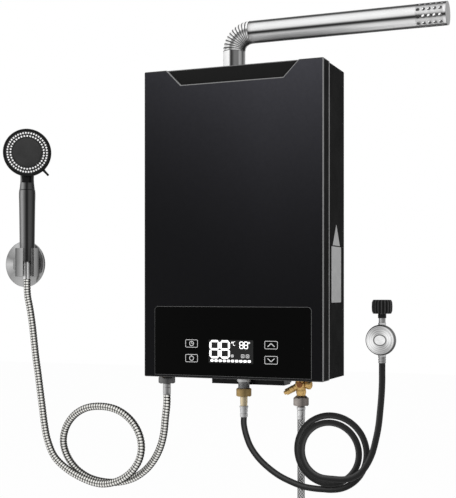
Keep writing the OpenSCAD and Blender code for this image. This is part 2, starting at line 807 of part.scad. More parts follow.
module gas_pipe() {
    z = (valve_top + burner_foot) / 2;
    color("#b9a468") translate([gas_rise_x, 0, 0]) {
        translate([0, -fit_y, valve_top]) cylinder(h = z - valve_top, d = gas_pipe_d);
        translate([0, manifold_y, z]) along_y() cylinder(h = -fit_y - manifold_y, d = gas_pipe_d);
        translate([0, manifold_y, z]) cylinder(h = jet_z - inlet_len - z, d = gas_pipe_d);
        for (y = [-fit_y, manifold_y]) translate([0, y, z]) sphere(d = gas_pipe_d + 2);
    }
}

module gas_union() {
    nut_h = 15;
    nut_foot = foot_z - 35;
    stub_foot = nut_foot + 2;
    color("#c0c2c4") translate([gas_x, -fit_y, 0]) difference() {
        union() {
            translate([0, 0, foot_z - 8]) cylinder(h = shell_foot - foot_z + 8, d = thread_d + 4.7);
            translate([0, 0, stub_foot]) cylinder(h = valve_foot - stub_foot, d = thread_d);
        }
        translate([0, 0, stub_foot - 1]) cylinder(h = valve_foot - stub_foot + 2, d = 12);
    }
    color("#b39a55") translate([gas_x, -fit_y, 0]) {
        difference() {
            translate([0, 0, nut_foot]) hex_bar(nut_h, gas_nut_af);
            translate([0, 0, stub_foot]) cylinder(h = nut_h, d = thread_d + 2 * seat);
            translate([0, 0, nut_foot - 1]) cylinder(h = 10, d = 13.1);
        }
        difference() {
            translate([0, 0, tail_foot]) cylinder(h = stub_foot - tail_foot, d = 13);
            translate([0, 0, tail_foot - 1]) cylinder(h = stub_foot - tail_foot + 2, d = 6.5);
        }
    }
    color("#b5b7b9") translate([gas_x, -fit_y, 0]) {
        difference() {
            union() {
                translate([0, 0, gas_exit]) cylinder(h = tail_foot - gas_exit, d = gas_hose_d + 3);
                translate([0, 0, tail_foot - 4]) cylinder(h = 4, d1 = gas_hose_d + 3, d2 = gas_hose_d + 5.4);
            }
            translate([0, 0, gas_exit + 1]) cylinder(h = tail_foot - gas_exit, d = 6.5);
        }
    }
}

tail_foot = foot_z - 52;
gas_exit = foot_z - 72;                    // where the gas hose leaves its ferrule

// ---- water side

hot_x = -hot_left * case_w / drawn_w;
cold_x = cold_right * case_w / drawn_w;
sensor_foot = foot_z + 14;
sensor_h = 46;
sensor_d = 30;
rotor_r = 9;
rotor_h = 12;
rotor_z = sensor_foot + 17;

module cold_pipe() {
    y = tube_y(0);
    rise_x = cold_x + 10;
    color("#c07f45") pipe_run([[cold_x, -fit_y, sensor_foot + sensor_h],
        [cold_x, -fit_y, sensor_foot + sensor_h + 18], [rise_x, -fit_y, sensor_foot + sensor_h + 18],
        [rise_x, -fit_y, chamber_foot + 40], [rise_x, y, chamber_foot + 70], [rise_x, y, tube_z],
        [tube_end, y, tube_z]], coil_tube_d);
}

module hot_pipe() {
    y = tube_y(tube_count - 1);
    color("#c07f45") pipe_run([[-tube_end, y, tube_z], [hot_x, y, tube_z], [hot_x, y, foot_z + 150],
        [hot_x, -fit_y, foot_z + 100], [hot_x, -fit_y, foot_z + 20]], coil_tube_d);
}

module flow_sensor() {
    color("#d8d5cc") translate([cold_x, -fit_y, 0]) difference() {
        translate([0, 0, sensor_foot]) cylinder(h = sensor_h, d = sensor_d);
        translate([0, 0, sensor_foot - 1]) cylinder(h = sensor_h, d = water_bore);
        translate([0, 0, rotor_z - 1]) cylinder(h = rotor_h + 2, r = rotor_r + 1);
    }
    color("#2b2e33") translate([cold_x, -fit_y, rotor_z]) {
        bar(-9, 9, sensor_d / 2 - 1, sensor_d / 2 + 9, -4, rotor_h + 4);
        translate([0, 0, -8]) cylinder(h = rotor_h + 16, d = 2);
        for (z = [-8, rotor_h + 5]) translate([-water_bore / 2, -1, z]) cube([water_bore, 2, 3]);
    }
}

module flow_rotor() {
    color("#e9e9e6") translate([cold_x, -fit_y, rotor_z]) difference() {
        union() {
            cylinder(h = rotor_h, d = 6);
            for (i = [0:5]) rotate([0, 0, i * 60]) translate([2, -0.5, 1]) cube([rotor_r - 2, 1, rotor_h - 2]);
        }
        translate([0, 0, -1]) cylinder(h = rotor_h + 2, d = 2 + 2 * seat);
    }
}

// Union nut with the tail of its hose: nut top, tail foot
module hot_union() {
    nut_top = foot_z - 4;
    nut_h = 12.5;
    color("#77797c") translate([hot_x, -fit_y, 0]) {
        difference() {
            union() {
                translate([0, 0, nut_top - nut_h]) hex_bar(nut_h, hot_nut_af);
                translate([0, 0, hot_exit]) cylinder(h = nut_top - nut_h - hot_exit, d = shower_hose_d + 0.6);
            }
            translate([0, 0, nut_top - nut_h + 3]) cylinder(h = nut_h, d = thread_d + 0.1);
            translate([0, 0, hot_exit + 1]) cylinder(h = 40, d = water_bore);
        }
    }
    color("#b39a55") translate([hot_x, -fit_y, 0]) difference() {
        union() {
            translate([0, 0, nut_top - nut_h + 3]) cylinder(h = foot_z + 21 - nut_top + nut_h - 3, d = thread_d);
            translate([0, 0, shell_foot + sheet_t]) cylinder(h = 4, d = thread_d + 7);
            translate([0, 0, shell_foot - 3]) cylinder(h = 3, d = thread_d + 7);
        }
        translate([0, 0, nut_top - nut_h]) cylinder(h = 60, d = coil_tube_d + 2 * seat);
    }
}

hot_exit = foot_z - 37;                    // where the shower hose leaves its tail
cold_nut_h = 15;
cold_nut_foot = foot_z - 32.5 - cold_nut_h;
cold_neck_foot = cold_nut_foot + 6;
cold_exit = foot_z - 71;                   // where the supply hose leaves its crimp sleeve
valve_axis_z = foot_z - 10;
neck_d = 15;
spindle_d = 5;
drain_tilt = 62;                           // drain branch measured from straight down

module inlet_valve() {
    color("#c2a25a") translate([cold_x, -fit_y, 0]) difference() {
        union() {
            translate([0, 0, cold_neck_foot]) cylinder(h = sensor_foot - cold_neck_foot, d = neck_d);
            translate([0, 0, shell_foot - 2.6]) cylinder(h = 2.6, d = thread_d + 6);
            translate([-9, 0, valve_axis_z]) along_x() cylinder(h = 16.5, d = 17);
            translate([0, 0, valve_axis_z]) rotate([0, -180 + drain_tilt, 0]) {
                cylinder(h = 22, d = 12);
                translate([0, 0, 22]) cylinder(h = 9, d = 13, $fn = 6);
                translate([0, 0, 31]) cylinder(h = 4, d = 7);
            }
        }
        translate([0, 0, cold_neck_foot - 1]) cylinder(h = sensor_foot - cold_neck_foot + 2, d = water_bore);
        translate([water_bore / 2 + 0.5, 0, valve_axis_z]) along_x() cylinder(h = 6, d = spindle_d + 2 * seat);
    }
    color("#c0552f") translate([cold_x, -fit_y - 6, valve_axis_z]) rotate([90, 0, 0]) cylinder(h = 4.5, d = 11);
}

module valve_knob() {
    color("#c2a25a") translate([cold_x, -fit_y, valve_axis_z]) along_x() difference() {
        union() {
            translate([0, 0, water_bore / 2 + 1]) cylinder(h = 6, d = spindle_d);
            translate([0, 0, 8]) cylinder(h = 5, d1 = 13, d2 = 16.5);
            translate([0, 0, 13]) cylinder(h = 4, d = 16.5);
            translate([0, 0, 17]) cylinder(h = 2.5, d1 = 16.5, d2 = 11);
        }
        bar(-5, 5, -0.8, 0.8, 18, 21);
    }
}

module cold_union() {
    color("#7d7f82") translate([cold_x, -fit_y, cold_nut_foot]) difference() {
        union() {
            hex_bar(cold_nut_h, cold_nut_af);
            translate([0, 0, cold_nut_h]) cylinder(h = 3, d1 = cold_nut_af, d2 = 17);
        }
        translate([0, 0, 3]) cylinder(h = cold_nut_h + 4, d = neck_d + 0.2);
        translate([0, 0, -1]) cylinder(h = 10, d = 11.2);
    }
    color("#b5b7b9") translate([cold_x, -fit_y, 0]) difference() {
        union() {
            translate([0, 0, cold_exit]) cylinder(h = cold_neck_foot - cold_exit, d = 11);
            translate([0, 0, cold_nut_foot + 3 + seat]) cylinder(h = 2.9, d = neck_d - 0.2);
            translate([0, 0, cold_nut_foot - 7]) cylinder(h = 5, d = 15.4);
            translate([0, 0, cold_exit]) cylinder(h = cold_nut_foot - 7 - cold_exit, d = water_hose_d + 1);
        }
        translate([0, 0, cold_exit + 1]) cylinder(h = 60, d = 7);
    }
}

water_end = cold_exit - 240;               // foot of the supply hose
water_nut_len = 30;

module water_hose_nut() {
    color("#7d7f82") translate([cold_x, -fit_y, water_end - water_nut_len]) difference() {
        union() {
            hex_bar(cold_nut_h, cold_nut_af);
            cylinder(h = 17, d = 15);
            translate([0, 0, 12]) cylinder(h = water_nut_len - 12, d = water_hose_d + 1);
        }
        translate([0, 0, -1]) cylinder(h = 12, d = thread_d);
        translate([0, 0, 5]) cylinder(h = 20, d = 7);
    }
}

// ---- battery box

battery_w = 2 * cell_len + 18;
battery_x = 3;
battery_y1 = -16;
battery_y0 = battery_y1 - cell_d - 7;
battery_foot = foot_z - battery_drop;
battery_top = battery_foot + cell_d + 9;
box_t = 1.6;
lid_t = 2.4;
lid_pin_d = 3;
cheek = 14;                                // length of a hinge cheek
lid_pin_y = battery_y1 - 3.4;
lid_pin_z = battery_foot + 3.6;

module battery_box() {
    x0 = battery_x - battery_w / 2;
    x1 = battery_x + battery_w / 2;
    color("#111214") difference() {
        union() {
            bar(x0, x1, battery_y0, battery_y1, battery_foot + lid_t + touch, battery_top);
            bar(x0 - 5, x1 + 5, battery_y0 - 3.6, battery_y1 + 5, shell_foot + sheet_t, shell_foot + sheet_t + 2);
        }
        difference() {
            bar(x0 + box_t, x1 - box_t, battery_y0 + box_t, battery_y1 - box_t,
                battery_foot - 1, battery_top - box_t);
            for (x = [x0, x1 - cheek]) bar(x, x + cheek, lid_pin_y - 3.2, battery_y1, battery_foot, lid_pin_z + 3.2);
        }
        bar(x0 + cheek, x1 - cheek, battery_y1 - 8, battery_y1 + 1, battery_foot, lid_pin_z + 3.4);
        for (x = [x0 + 2, x1 - 14.5]) translate([x, lid_pin_y, lid_pin_z]) along_x()
            cylinder(h = 12.5, d = lid_pin_d + 2 * seat);
    }
}

module battery_lid() {
    x0 = battery_x - battery_w / 2;
    x1 = battery_x + battery_w / 2;
    color("#18191c") {
        bar(x0, x1, battery_y0, lid_pin_y - 3.4, battery_foot, battery_foot + lid_t);
        bar(battery_x - 9, battery_x + 9, battery_y0 - 2.6, battery_y0, battery_foot, battery_foot + 6);
        bar(x0 + cheek + 1, x1 - cheek - 1, lid_pin_y - 4, lid_pin_y, battery_foot, battery_foot + lid_t);
        translate([x0 + cheek + 1, lid_pin_y, lid_pin_z]) along_x() cylinder(h = battery_w - 2 * cheek - 2, d = 6);
        translate([x0 + 3, lid_pin_y, lid_pin_z]) along_x() cylinder(h = battery_w - 6, d = lid_pin_d);
    }
}

module battery_cells() {
    y = (battery_y0 + battery_y1) / 2;
    z = battery_top - box_t - cell_d / 2 - touch;
    x_start = battery_x - cell_len - 1.6;
    x_end = battery_x + cell_len + 1.6;
    color("#3f4348") for (x = [x_start, battery_x]) translate([x, y, z]) along_x() cylinder(h = cell_len, d = cell_d);
    color("#b9bcc0") for (x = [x_start, battery_x]) translate([x + cell_len, y, z]) along_x() cylinder(h = 1.5, d = 9.5);
    color("#b9bcc0") {
        bar(battery_x - battery_w / 2 + box_t, x_start - 0.1, y - 7, y + 7, z - 7, z + 7);
        bar(x_end, battery_x + battery_w / 2 - box_t, y - 7, y + 7, z - 7, z + 7);
    }
}

// ---- regulator

reg_x = 262;
reg_y = -106;
reg_z = -203;
reg_exit = reg_z - reg_d / 2 - 14;         // where the gas hose meets the regulator
stem_d = 11.3;
knob_foot = reg_z + reg_d / 2 + 19;
reg_back_t = 15;
port_y = reg_y + reg_back_t / 2;            // axis of the inlet and the outlet
reg_front_t = 9;

module regulator_body() {
    color("#a7aaad") translate([reg_x, reg_y, reg_z]) difference() {
        union() {
            along_y() rotate_extrude() polygon([[0, 0], [reg_d / 2, 0], [reg_d / 2, 3], [reg_d / 2 - 3, 4],
                [reg_d / 2 - 8, reg_back_t - 3], [reg_d / 2 - 12, reg_back_t], [0, reg_back_t]]);
            translate([0, reg_back_t / 2, 0]) cylinder(h = reg_d / 2 + 4, d = stem_d + 3);
            translate([0, reg_back_t / 2, -reg_d / 2 - 3]) cylinder(h = 14, d = gas_hose_d + 1.6);
        }
        along_y() translate([0, 0, -1]) cylinder(h = 8, d = reg_d - 16);
        translate([0, reg_back_t / 2, -reg_d / 2 - 4]) cylinder(h = 20, d = 6);
        translate([0, reg_back_t / 2, 10]) cylinder(h = reg_d, d = 6);
    }
    color("#8e9194") translate([reg_x, port_y, reg_exit]) difference() {
        cylinder(h = 11, d = gas_hose_d + 1.8);
        translate([0, 0, 1]) cylinder(h = 20, d = 6);
    }
}

module regulator_cover() {
    color("#bfc1c3") translate([reg_x, reg_y, reg_z]) rotate([90, 0, 0]) {
        difference() {
            rotate_extrude() polygon([[0, 0], [reg_d / 2 + 1, 0], [reg_d / 2 + 1, 3], [reg_d / 2 - 1.5, 3.6],
                [reg_d / 2 - 4, 6.4], [reg_d / 2 - 8, reg_front_t], [0, reg_front_t]]);
            translate([0, 0, -1]) cylinder(h = 7, d = reg_d - 18);
        }
    }
    color("#9b9ea1") translate([reg_x, reg_y - reg_front_t - 0.8, reg_z]) along_y() {
        translate([-4, 0, 0]) cylinder(h = 0.8, d = 15);
        translate([4, 0, 0]) cylinder(h = 0.8, d = 15);
    }
    color("#c9b37a") translate([reg_x, reg_y, reg_z]) along_y() translate([0, 0, -5.9]) {
        cylinder(h = 5.9, d = 12);
        translate([0, 0, 5.9]) cylinder(h = 0.8, d = reg_d - 17);
    }
}

module regulator_stem() {
    color("#b7b9bb") translate([reg_x, port_y, 0]) {
        stem_foot = reg_z + reg_d / 2 + 4;
        difference() {
            union() {
                translate([0, 0, stem_foot]) cylinder(h = knob_foot + 5 - stem_foot, d = stem_d);
                translate([0, 0, knob_foot + 5 + seat]) cylinder(h = 3, d = stem_d + 5);
            }
            translate([0, 0, stem_foot - 1]) cylinder(h = 60, d = 5);
        }
    }
    color("#141416") translate([reg_x, port_y, knob_foot - 7.4]) tube(7, 14, stem_d);
}

module tank_knob() {
    color("#17181a") translate([reg_x, port_y, knob_foot]) difference() {
        union() {
            cylinder(h = knob_h, d = knob_d - 2.4);
            for (i = [0:knob_ribs - 1]) rotate([0, 0, i * 360 / knob_ribs])
                translate([knob_d / 2 - 2.2, 0, 1]) cylinder(h = knob_h - 2, d = 3.4, $fn = 24);
        }
        translate([0, 0, -1]) cylinder(h = knob_h, d = stem_d + 2 * seat);
        translate([0, 0, 5]) cylinder(h = 3.4, d = stem_d + 5.6);
        translate([0, 0, 8.3]) cylinder(h = knob_h, d = tank_thread_d);
    }
}

// ---- hand shower

handset_x = -handset_left;
handle_foot_z = -62;
nut_len = 35;
nut_foot_z = handle_foot_z - nut_len;
neck_z = handle_foot_z + handle_len;       // top of the handle's straight part
head_r = head_d / 2;
head_z = neck_z + 25 + head_r;             // centre of the head
head_back = -4;                            // back of the head, along the handset's own Y

// Place something in the handset's own frame: Z along the handle, face towards -Y
module handset_frame() {
    translate([handset_x, -handset_y, 0]) rotate([0, 0, handset_turn]) children();
}

// Place something in the head's frame: Z out of the spray face
module head_frame() {
    handset_frame() translate([0, head_back, head_z]) rotate([90, 0, 0]) children();
}

module handset_body() {
    foot_r = handle_foot_d / 2;
    top_r = handle_top_d / 2;
    color("#6f7275") difference() {
        union() {
            handset_frame() translate([0, 0, handle_foot_z]) rotate_extrude() polygon([[0, 0], [foot_r - 1, 0],
                [foot_r, 1], [foot_r, 14], [foot_r + 0.7, 40], [top_r - 0.4, handle_len - 27],
                [top_r, handle_len - 13], [top_r - 0.2, handle_len - 5], [top_r - 1, handle_len],
                [top_r - 2.4, handle_len + 14],
                [top_r - 3.4, handle_len + 30], [0, handle_len + 30]]);
            handset_frame() translate([0, -6, neck_z + 10]) rotate([8, 0, 0]) cylinder(h = 34, d = 22);
            head_frame() rotate_extrude() polygon([[0, -3], [head_r - 22, -3], [head_r - 10, 0], [head_r - 3, 5],
                [head_r, 10], [head_r, head_t - ring_h], [0, head_t - ring_h]]);
        }
        head_frame() translate([0, 0, 5]) cylinder(h = head_t, r = head_r - 10);
        head_frame() translate([0, 0, head_t - mat_deep]) cylinder(h = head_t, r = head_r - 6);
        head_frame() translate([0, 0, head_t - ring_h]) cylinder(h = head_t, r = head_r + 1);
        handset_frame() translate([0, 0, handle_foot_z - 1]) cylinder(h = 60, d = 10);
        handset_frame() translate([0, 0, handle_foot_z - 1]) cylinder(h = 9, d = 16.4);
    }
}

plate_r = head_r - 6 - 0.2;
lip_r = plate_r + 1.4;
outer_ring_r = head_r - 8.6;
inner_ring_r = head_r - 14.6;
dome_r = head_r - 19;
ring_h = 5;                                // height of the mode ring's seat below the front
lever_angle = 47;
mat_deep = 9;                              // depth of the nozzle mat's seat below the front

// Places of the nozzles in the two rings
module nozzle_spots() {
    for (i = [0:nozzles_outer - 1]) rotate(i * 360 / nozzles_outer) translate([outer_ring_r, 0]) children();
    for (i = [0:nozzles_inner - 1]) rotate(i * 360 / nozzles_inner) translate([inner_ring_r, 0]) children();
}

module spray_plate() {
    color("#3b3d40") head_frame() {
        difference() {
            union() {
                translate([0, 0, head_t - 4]) cylinder(h = 3.9, r = plate_r);
                translate([0, 0, head_t - 1]) cylinder(h = 0.9, r = lip_r);
            }
            translate([0, 0, head_t - 5]) linear_extrude(6) nozzle_spots() circle(d = nozzle_d + 0.1, $fn = 16);
        }
        translate([0, 0, head_t - 0.1]) rotate_extrude() polygon([[0, 0], [dome_r, 0], [dome_r - 2, 1],
            [dome_r * 0.6, 2.2], [0, 2.8]]);
    }
}

module spray_nozzles() {
    color("#f2f2f0") head_frame() {
        translate([0, 0, head_t - 4.5]) linear_extrude(5) nozzle_spots() circle(d = nozzle_d, $fn = 16);
        translate([0, 0, head_t - mat_deep]) linear_extrude(mat_deep - 4) difference() {
            circle(outer_ring_r + 2);
            circle(inner_ring_r - 3);
        }
    }
}

module mode_lever() {
    color("#55585b") head_frame() {
        translate([0, 0, head_t - ring_h + touch]) tube(ring_h - touch - 1.3, head_d, 2 * (plate_r + 0.4));
        translate([0, 0, head_t - 1.3]) tube(1.1, head_d, 2 * (lip_r + 0.4));
        rotate([0, 0, -lever_angle]) translate([0, -1.6, head_t - ring_h + 0.7]) difference() {
            translate([head_r - 2, 0, 0]) cube([lever_len + 2, 3.2, 3]);
            translate([0, 1.6, -1]) cylinder(h = 6, r = head_r - 1);
        }
    }
}

module handset_nut() {
    color("#b9bbbd") handset_frame() translate([0, 0, nut_foot_z]) difference() {
        union() {
            cylinder(h = nut_len, d1 = 15.4, d2 = 16);
            translate([0, 0, nut_len]) cylinder(h = 7.6, d = 15.9);
        }
        translate([0, 0, 1]) cylinder(h = 60, d = water_bore);
    }
}

clip_foot_z = -92;
clip_bore = handle_foot_d + 1;
base_x = handset_x - clip_offset;
base_z = -66;

module holder_base() {
    color("#c9cbcd") translate([base_x, 0, base_z]) rotate([90, 0, 0]) rotate_extrude() polygon([[0, 0],
        [base_d / 2, 0], [base_d / 2, 1.5], [base_d / 2 - 1, 3], [base_d / 2 - 6, base_t - 1.5],
        [base_d / 2 - 12, base_t], [0, base_t]]);
}

module holder_clip() {
    color("#c9cbcd") difference() {
        union() {
            translate([handset_x, -handset_y, clip_foot_z]) cylinder(h = clip_h, d = clip_d);
            bar(base_x - 11, handset_x + 8, -handset_y + 14, -base_t, base_z - 12, base_z + 12);
            translate([base_x, -base_t, base_z]) rotate([90, 0, 0]) cylinder(h = 9, d = 30);
        }
        translate([handset_x, -handset_y, clip_foot_z - 1]) cylinder(h = clip_h + 2, d = 16.8);
        translate([handset_x, -handset_y, handle_foot_z - touch]) cylinder(h = clip_h, d = clip_bore);
        translate([handset_x, -handset_y, clip_foot_z - 1]) rotate([0, 0, handset_turn])
            translate([-clip_slot / 2, -clip_d, 0]) cube([clip_slot, clip_d, clip_h + 2]);
    }
}

// ---- hoses

shower_route = concat([[hot_x, -fit_y, hot_exit], [hot_x, -fit_y, hot_exit - 18]],
    [[-154, -73, -356], [-159, -69, -384], [-168, -64, -410], [-183, -58, -435], [-204, -53, -458],
    [-231, -50, -476], [-262, -49, -486], [-294, -50, -488],
    [-327, -51, -482], [-355, -53, -466], [-374, -55, -442], [-381, -58, -414], [-374, -60, -386],
    [-355, -63, -362], [-327, -65, -346], [-293, -66, -341], [-259, -67, -346], [-231, -68, -362],
    [-212, -69, -386], [-205, -70, -414], [-212, -70, -442], [-231, -71, -466], [-259, -71, -482],
    [-293, -71, -488], [-330, -71, -480], [-365, -70, -465], [-394, -69, -443], [-411, -67, -412],
    [-419, -66, -380], [-425, -64, -348], [-431, -62, -316], [-437, -60, -284], [-444, -57, -252],
    [-450, -54, -220], [-456, -51, -188], [-463, -48, -158], [-470, -46, -132]],
    [[handset_x, -handset_y, nut_foot_z - 16], [handset_x, -handset_y, nut_foot_z]]);

module shower_hose() {
    echo("shower hose gap", least_gap(shower_route, shower_hose_d, 4));
    color("#a9abad") swept(shower_route, shower_hose_d, 10);
}

coil_x = 170;
coil_y = -92;
coil_height = -396;
coil_r = 67;
coil_turns = 2;
coil_steps = 24;
coil_in = 11.4;                            // each turn lies this much inside the one before
coil_out = 8;                              // and this much nearer the viewer
coil_lift = 5;                             // the last half turn rises this much more, clear of the turns
coil_tip = 1;                              // and its straight end this much
coil_start = [coil_x - 12, coil_y, coil_height - coil_r];
coil_end_y = coil_y - coil_turns * coil_out - coil_lift - coil_tip;
coil_end = [coil_x + 12, coil_end_y, coil_height - coil_r + coil_turns * coil_in];

lead_route = concat([[gas_x, -fit_y, gas_exit], [gas_x, -fit_y, gas_exit - 14]],
    [[8, -76, -380], [17, -77, -400], [32, -79, -418], [51, -82, -433], [74, -86, -446],
    [99, -90, -455], [122, -92, -461], [143, -92, -463]], [coil_start]);

coil_route = concat([coil_start], [for (i = [0:coil_turns * coil_steps]) let (a = 360 * i / coil_steps,
    r = coil_r - coil_in * a / 360, late = max(0, 2 * (a / 360 - coil_turns) + 1))
    [coil_x + r * sin(a), coil_y - coil_out * a / 360 - coil_lift * late * late, coil_height - r * cos(a)]],
    [coil_end]);

tail_route = concat([coil_end], [[194, -115, -440.2], [206, -115.5, -438.5], [218, -116, -434],
    [230, -116, -425.5], [240, -115, -412], [248, -112, -394], [253, -108, -373], [257, -104, -349],
    [259, -101, -325], [261, -100, -300], [262, -99, -276]],
    [[reg_x, port_y, reg_exit - 14], [reg_x, port_y, reg_exit]]);

module gas_hose_lead() {
    color("#1a1a1b") swept(lead_route, gas_hose_d, 10);
}

module gas_hose_coil() {
    echo("gas hose gap", least_gap(coil_route, gas_hose_d, coil_steps / 2));
    color("#1a1a1b") swept(coil_route, gas_hose_d, 10);
}

module gas_hose_tail() {
    color("#1a1a1b") swept(tail_route, gas_hose_d, 10);
}

water_route = [for (i = [0:8]) [cold_x, -fit_y, cold_exit - (cold_exit - water_end) * i / 8]];

module water_hose() {
    color("#a4a6a8") swept(water_route, water_hose_d, 12);
}

// ---- the assembly

rear_shell();
front_cover();
control_glass();
display_module();
control_board();
touch_springs();
cover_screws();
side_arrow();
flue_collar();
flue_gasket();
flue_sleeve();
flue_elbow();
flue_pipe();
flue_cap();
fan_housing();
fan_impeller();
fan_motor();
exhaust_hood();
exchanger_fins();
exchanger_tubes();
combustion_chamber();
burner_tray();
burner_bars();
gas_manifold();
gas_pipe();
gas_valve();
gas_plunger();
plunger_spring();
electrodes();
spark_module();
cold_pipe();
hot_pipe();
flow_sensor();
flow_rotor();
battery_box();
battery_lid();
battery_cells();
hot_union();
gas_union();
inlet_valve();
valve_knob();
cold_union();
shower_hose();
gas_hose_lead();
gas_hose_coil();
gas_hose_tail();
water_hose();
water_hose_nut();
regulator_body();
regulator_cover();
regulator_stem();
tank_knob();
handset_body();
spray_plate();
spray_nozzles();
mode_lever();
handset_nut();
holder_base();
holder_clip();
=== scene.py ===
"""Wall-hung propane water heater with its flue, hand shower, gas regulator and hoses.

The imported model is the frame. Shapes are drawn in millimetres on the frame's axes (X right, Y into the wall,
Z up) and are brought to metres when a piece is finished.
"""
from __future__ import annotations

import json
import logging
from bisect import bisect_right
from dataclasses import dataclass, field
from enum import Enum
from math import atan2, cos, exp, hypot, pi, radians, sin, sqrt, tau
from typing import Callable, Sequence

import bmesh
import bpy
from mathutils import Matrix, Vector


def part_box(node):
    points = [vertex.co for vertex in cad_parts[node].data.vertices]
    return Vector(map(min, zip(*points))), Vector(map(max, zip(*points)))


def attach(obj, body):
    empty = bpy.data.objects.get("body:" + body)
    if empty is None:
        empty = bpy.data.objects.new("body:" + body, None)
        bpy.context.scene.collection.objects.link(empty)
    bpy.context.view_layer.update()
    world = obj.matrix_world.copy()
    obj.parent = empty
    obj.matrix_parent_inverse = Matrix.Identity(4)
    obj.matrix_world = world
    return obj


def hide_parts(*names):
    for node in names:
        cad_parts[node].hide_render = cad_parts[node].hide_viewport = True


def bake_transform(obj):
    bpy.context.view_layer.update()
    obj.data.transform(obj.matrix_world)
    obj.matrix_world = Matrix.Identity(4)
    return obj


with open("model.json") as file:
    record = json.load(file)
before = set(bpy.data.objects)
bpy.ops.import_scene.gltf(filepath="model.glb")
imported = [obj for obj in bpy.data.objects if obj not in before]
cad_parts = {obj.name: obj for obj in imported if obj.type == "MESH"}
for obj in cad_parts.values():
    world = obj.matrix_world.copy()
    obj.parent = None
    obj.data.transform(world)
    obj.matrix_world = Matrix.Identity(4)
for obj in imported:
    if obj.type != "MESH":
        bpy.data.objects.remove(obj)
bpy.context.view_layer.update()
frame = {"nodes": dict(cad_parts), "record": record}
LOG = logging.getLogger("water_heater")
MM = 0.001
SAME_SPOT = 1e-4
Colour = tuple[float, float, float]
Point = tuple[float, float, float]
Outline = Sequence[tuple[float, float]]
Shape = bmesh.types.BMesh
Socket = bpy.types.NodeSocket
Node = bpy.types.Node
Sockets = bpy.types.bpy_prop_collection
Piece = bpy.types.Object
Tree = bpy.types.NodeTree


class Body(str, Enum):
    """CAD bodies that pieces ride on."""

    HEATER = "heater"
    HANDSET = "handset"
    MODE_RING = "mode_ring"
    FLUE = "flue"
    TANK_KNOB = "tank_hand_knob"
    PLUNGER = "plunger"
    WATER_KNOB = "water_knob"


class Slot(str, Enum):
    """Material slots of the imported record."""

    CASE_PAINT = "case_paint"
    BLACK_GLASS = "black_glass"
    DARK_PLASTIC = "dark_plastic"
    BLACK_PLASTIC = "black_plastic"
    GREY_PLASTIC = "grey_plastic"
    WHITE_PLASTIC = "white_plastic"
    BRASS = "brass"
    STEEL = "steel"
    POLISHED = "polished_steel"
    ALUMINIUM = "aluminium"
    CHROME = "chrome"
    BLACK_RUBBER = "black_rubber"
    WHITE_RUBBER = "white_rubber"


class Space(Enum):
    """Coordinates that a pattern lies on."""

    OBJECT = "Object"
    SURFACE = "UV"


def grey(level: float) -> Colour:
    """Linear colour of a grey written as an sRGB level from 0 to 255."""
    return tint(level, level, level)


def tint(red: float, green: float, blue: float) -> Colour:
    """Linear colour of an sRGB colour written from 0 to 255."""
    return tuple((v / 255 / 12.92) if v <= 10.3 else ((v / 255 + 0.055) / 1.055) ** 2.4 for v in (red, green, blue))


# ---- shapes

def turned(profile: Outline, steps: int = 48, ring: bool = False) -> Shape:
    """Turn a profile round the Z axis, as on a lathe.

    Args:
        profile: (radius, height) points, from end to end.
        steps: Number of sides.
        ring: Whether the last point joins the first.

    Returns:
        The turned shape.
    """
    bm = bmesh.new()
    spots = [bm.verts.new((r, 0, z)) for r, z in profile]
    pairs = list(zip(spots, spots[1:])) + ([(spots[-1], spots[0])] if ring else [])
    edges = [bm.edges.new(pair) for pair in pairs]
    bmesh.ops.spin(bm, geom=spots + edges, cent=(0, 0, 0), axis=(0, 0, 1), angle=tau, steps=steps, use_merge=True,
                   use_duplicate=False)
    bmesh.ops.remove_doubles(bm, verts=bm.verts[:], dist=1e-4)
    return bm


def rounded(profile: Outline, radius: float, cuts: int = 3) -> list[tuple[float, float]]:
    """Round the inner corners of an open profile.

    Args:
        profile: (radius, height) points.
        radius: Largest length cut from each side of a corner.
        cuts: Straight pieces in each rounded corner.

    Returns:
        The profile with its corners rounded.
    """
    found = [profile[0]]
    for before, corner, after in zip(profile, profile[1:], profile[2:]):
        a, b, c = Vector(before), Vector(corner), Vector(after)
        cut = min(radius, (a - b).length * 0.45, (c - b).length * 0.45)
        start, end = b + (a - b).normalized() * cut, b + (c - b).normalized() * cut
        for k in range(cuts + 1):
            t = k / cuts
            p = start * (1 - t) ** 2 + b * 2 * t * (1 - t) + end * t ** 2
            found.append((p.x, p.y))
    found.append(profile[-1])
    return found


def face_out(bm: Shape) -> None:
    """Turn all faces of a shape outward."""
    bmesh.ops.recalc_face_normals(bm, faces=bm.faces[:])


def is_sharp(edge: bmesh.types.BMEdge, least: float) -> bool:
    """Whether an edge lies between two faces at more than an angle in degrees."""
    return len(edge.link_faces) == 2 and edge.calc_face_angle(0) > radians(least)


def cut_edges(bm: Shape, edges: Sequence[bmesh.types.BMEdge], width: float, segments: int, material: int = -1) -> None:
    """Bevel some edges, with a material number for the new faces or the neighbours' own."""
    bmesh.ops.bevel(bm, geom=edges, offset=width, offset_type="OFFSET", segments=segments, profile=0.5, affect="EDGES",
                    material=material, clamp_overlap=True)


def slice_at(bm: Shape, spot: Point, across: Point) -> None:
    """Cut a shape's faces along the plane through a point, square to a direction."""
    bmesh.ops.bisect_plane(bm, geom=bm.verts[:] + bm.edges[:] + bm.faces[:], plane_co=spot, plane_no=across)


def draw_out(bm: Shape, grown: dict[str, list], reach: float) -> None:
    """Move what an extrusion has made along Y."""
    bmesh.ops.translate(bm, vec=(0, reach, 0), verts=[v for v in grown["geom"] if isinstance(v, bmesh.types.BMVert)])


def thicken(bm: Shape, faces: Sequence[bmesh.types.BMFace], thick: float) -> None:
    """Draw flat faces out towards -Y."""
    draw_out(bm, bmesh.ops.extrude_face_region(bm, geom=faces), -thick)


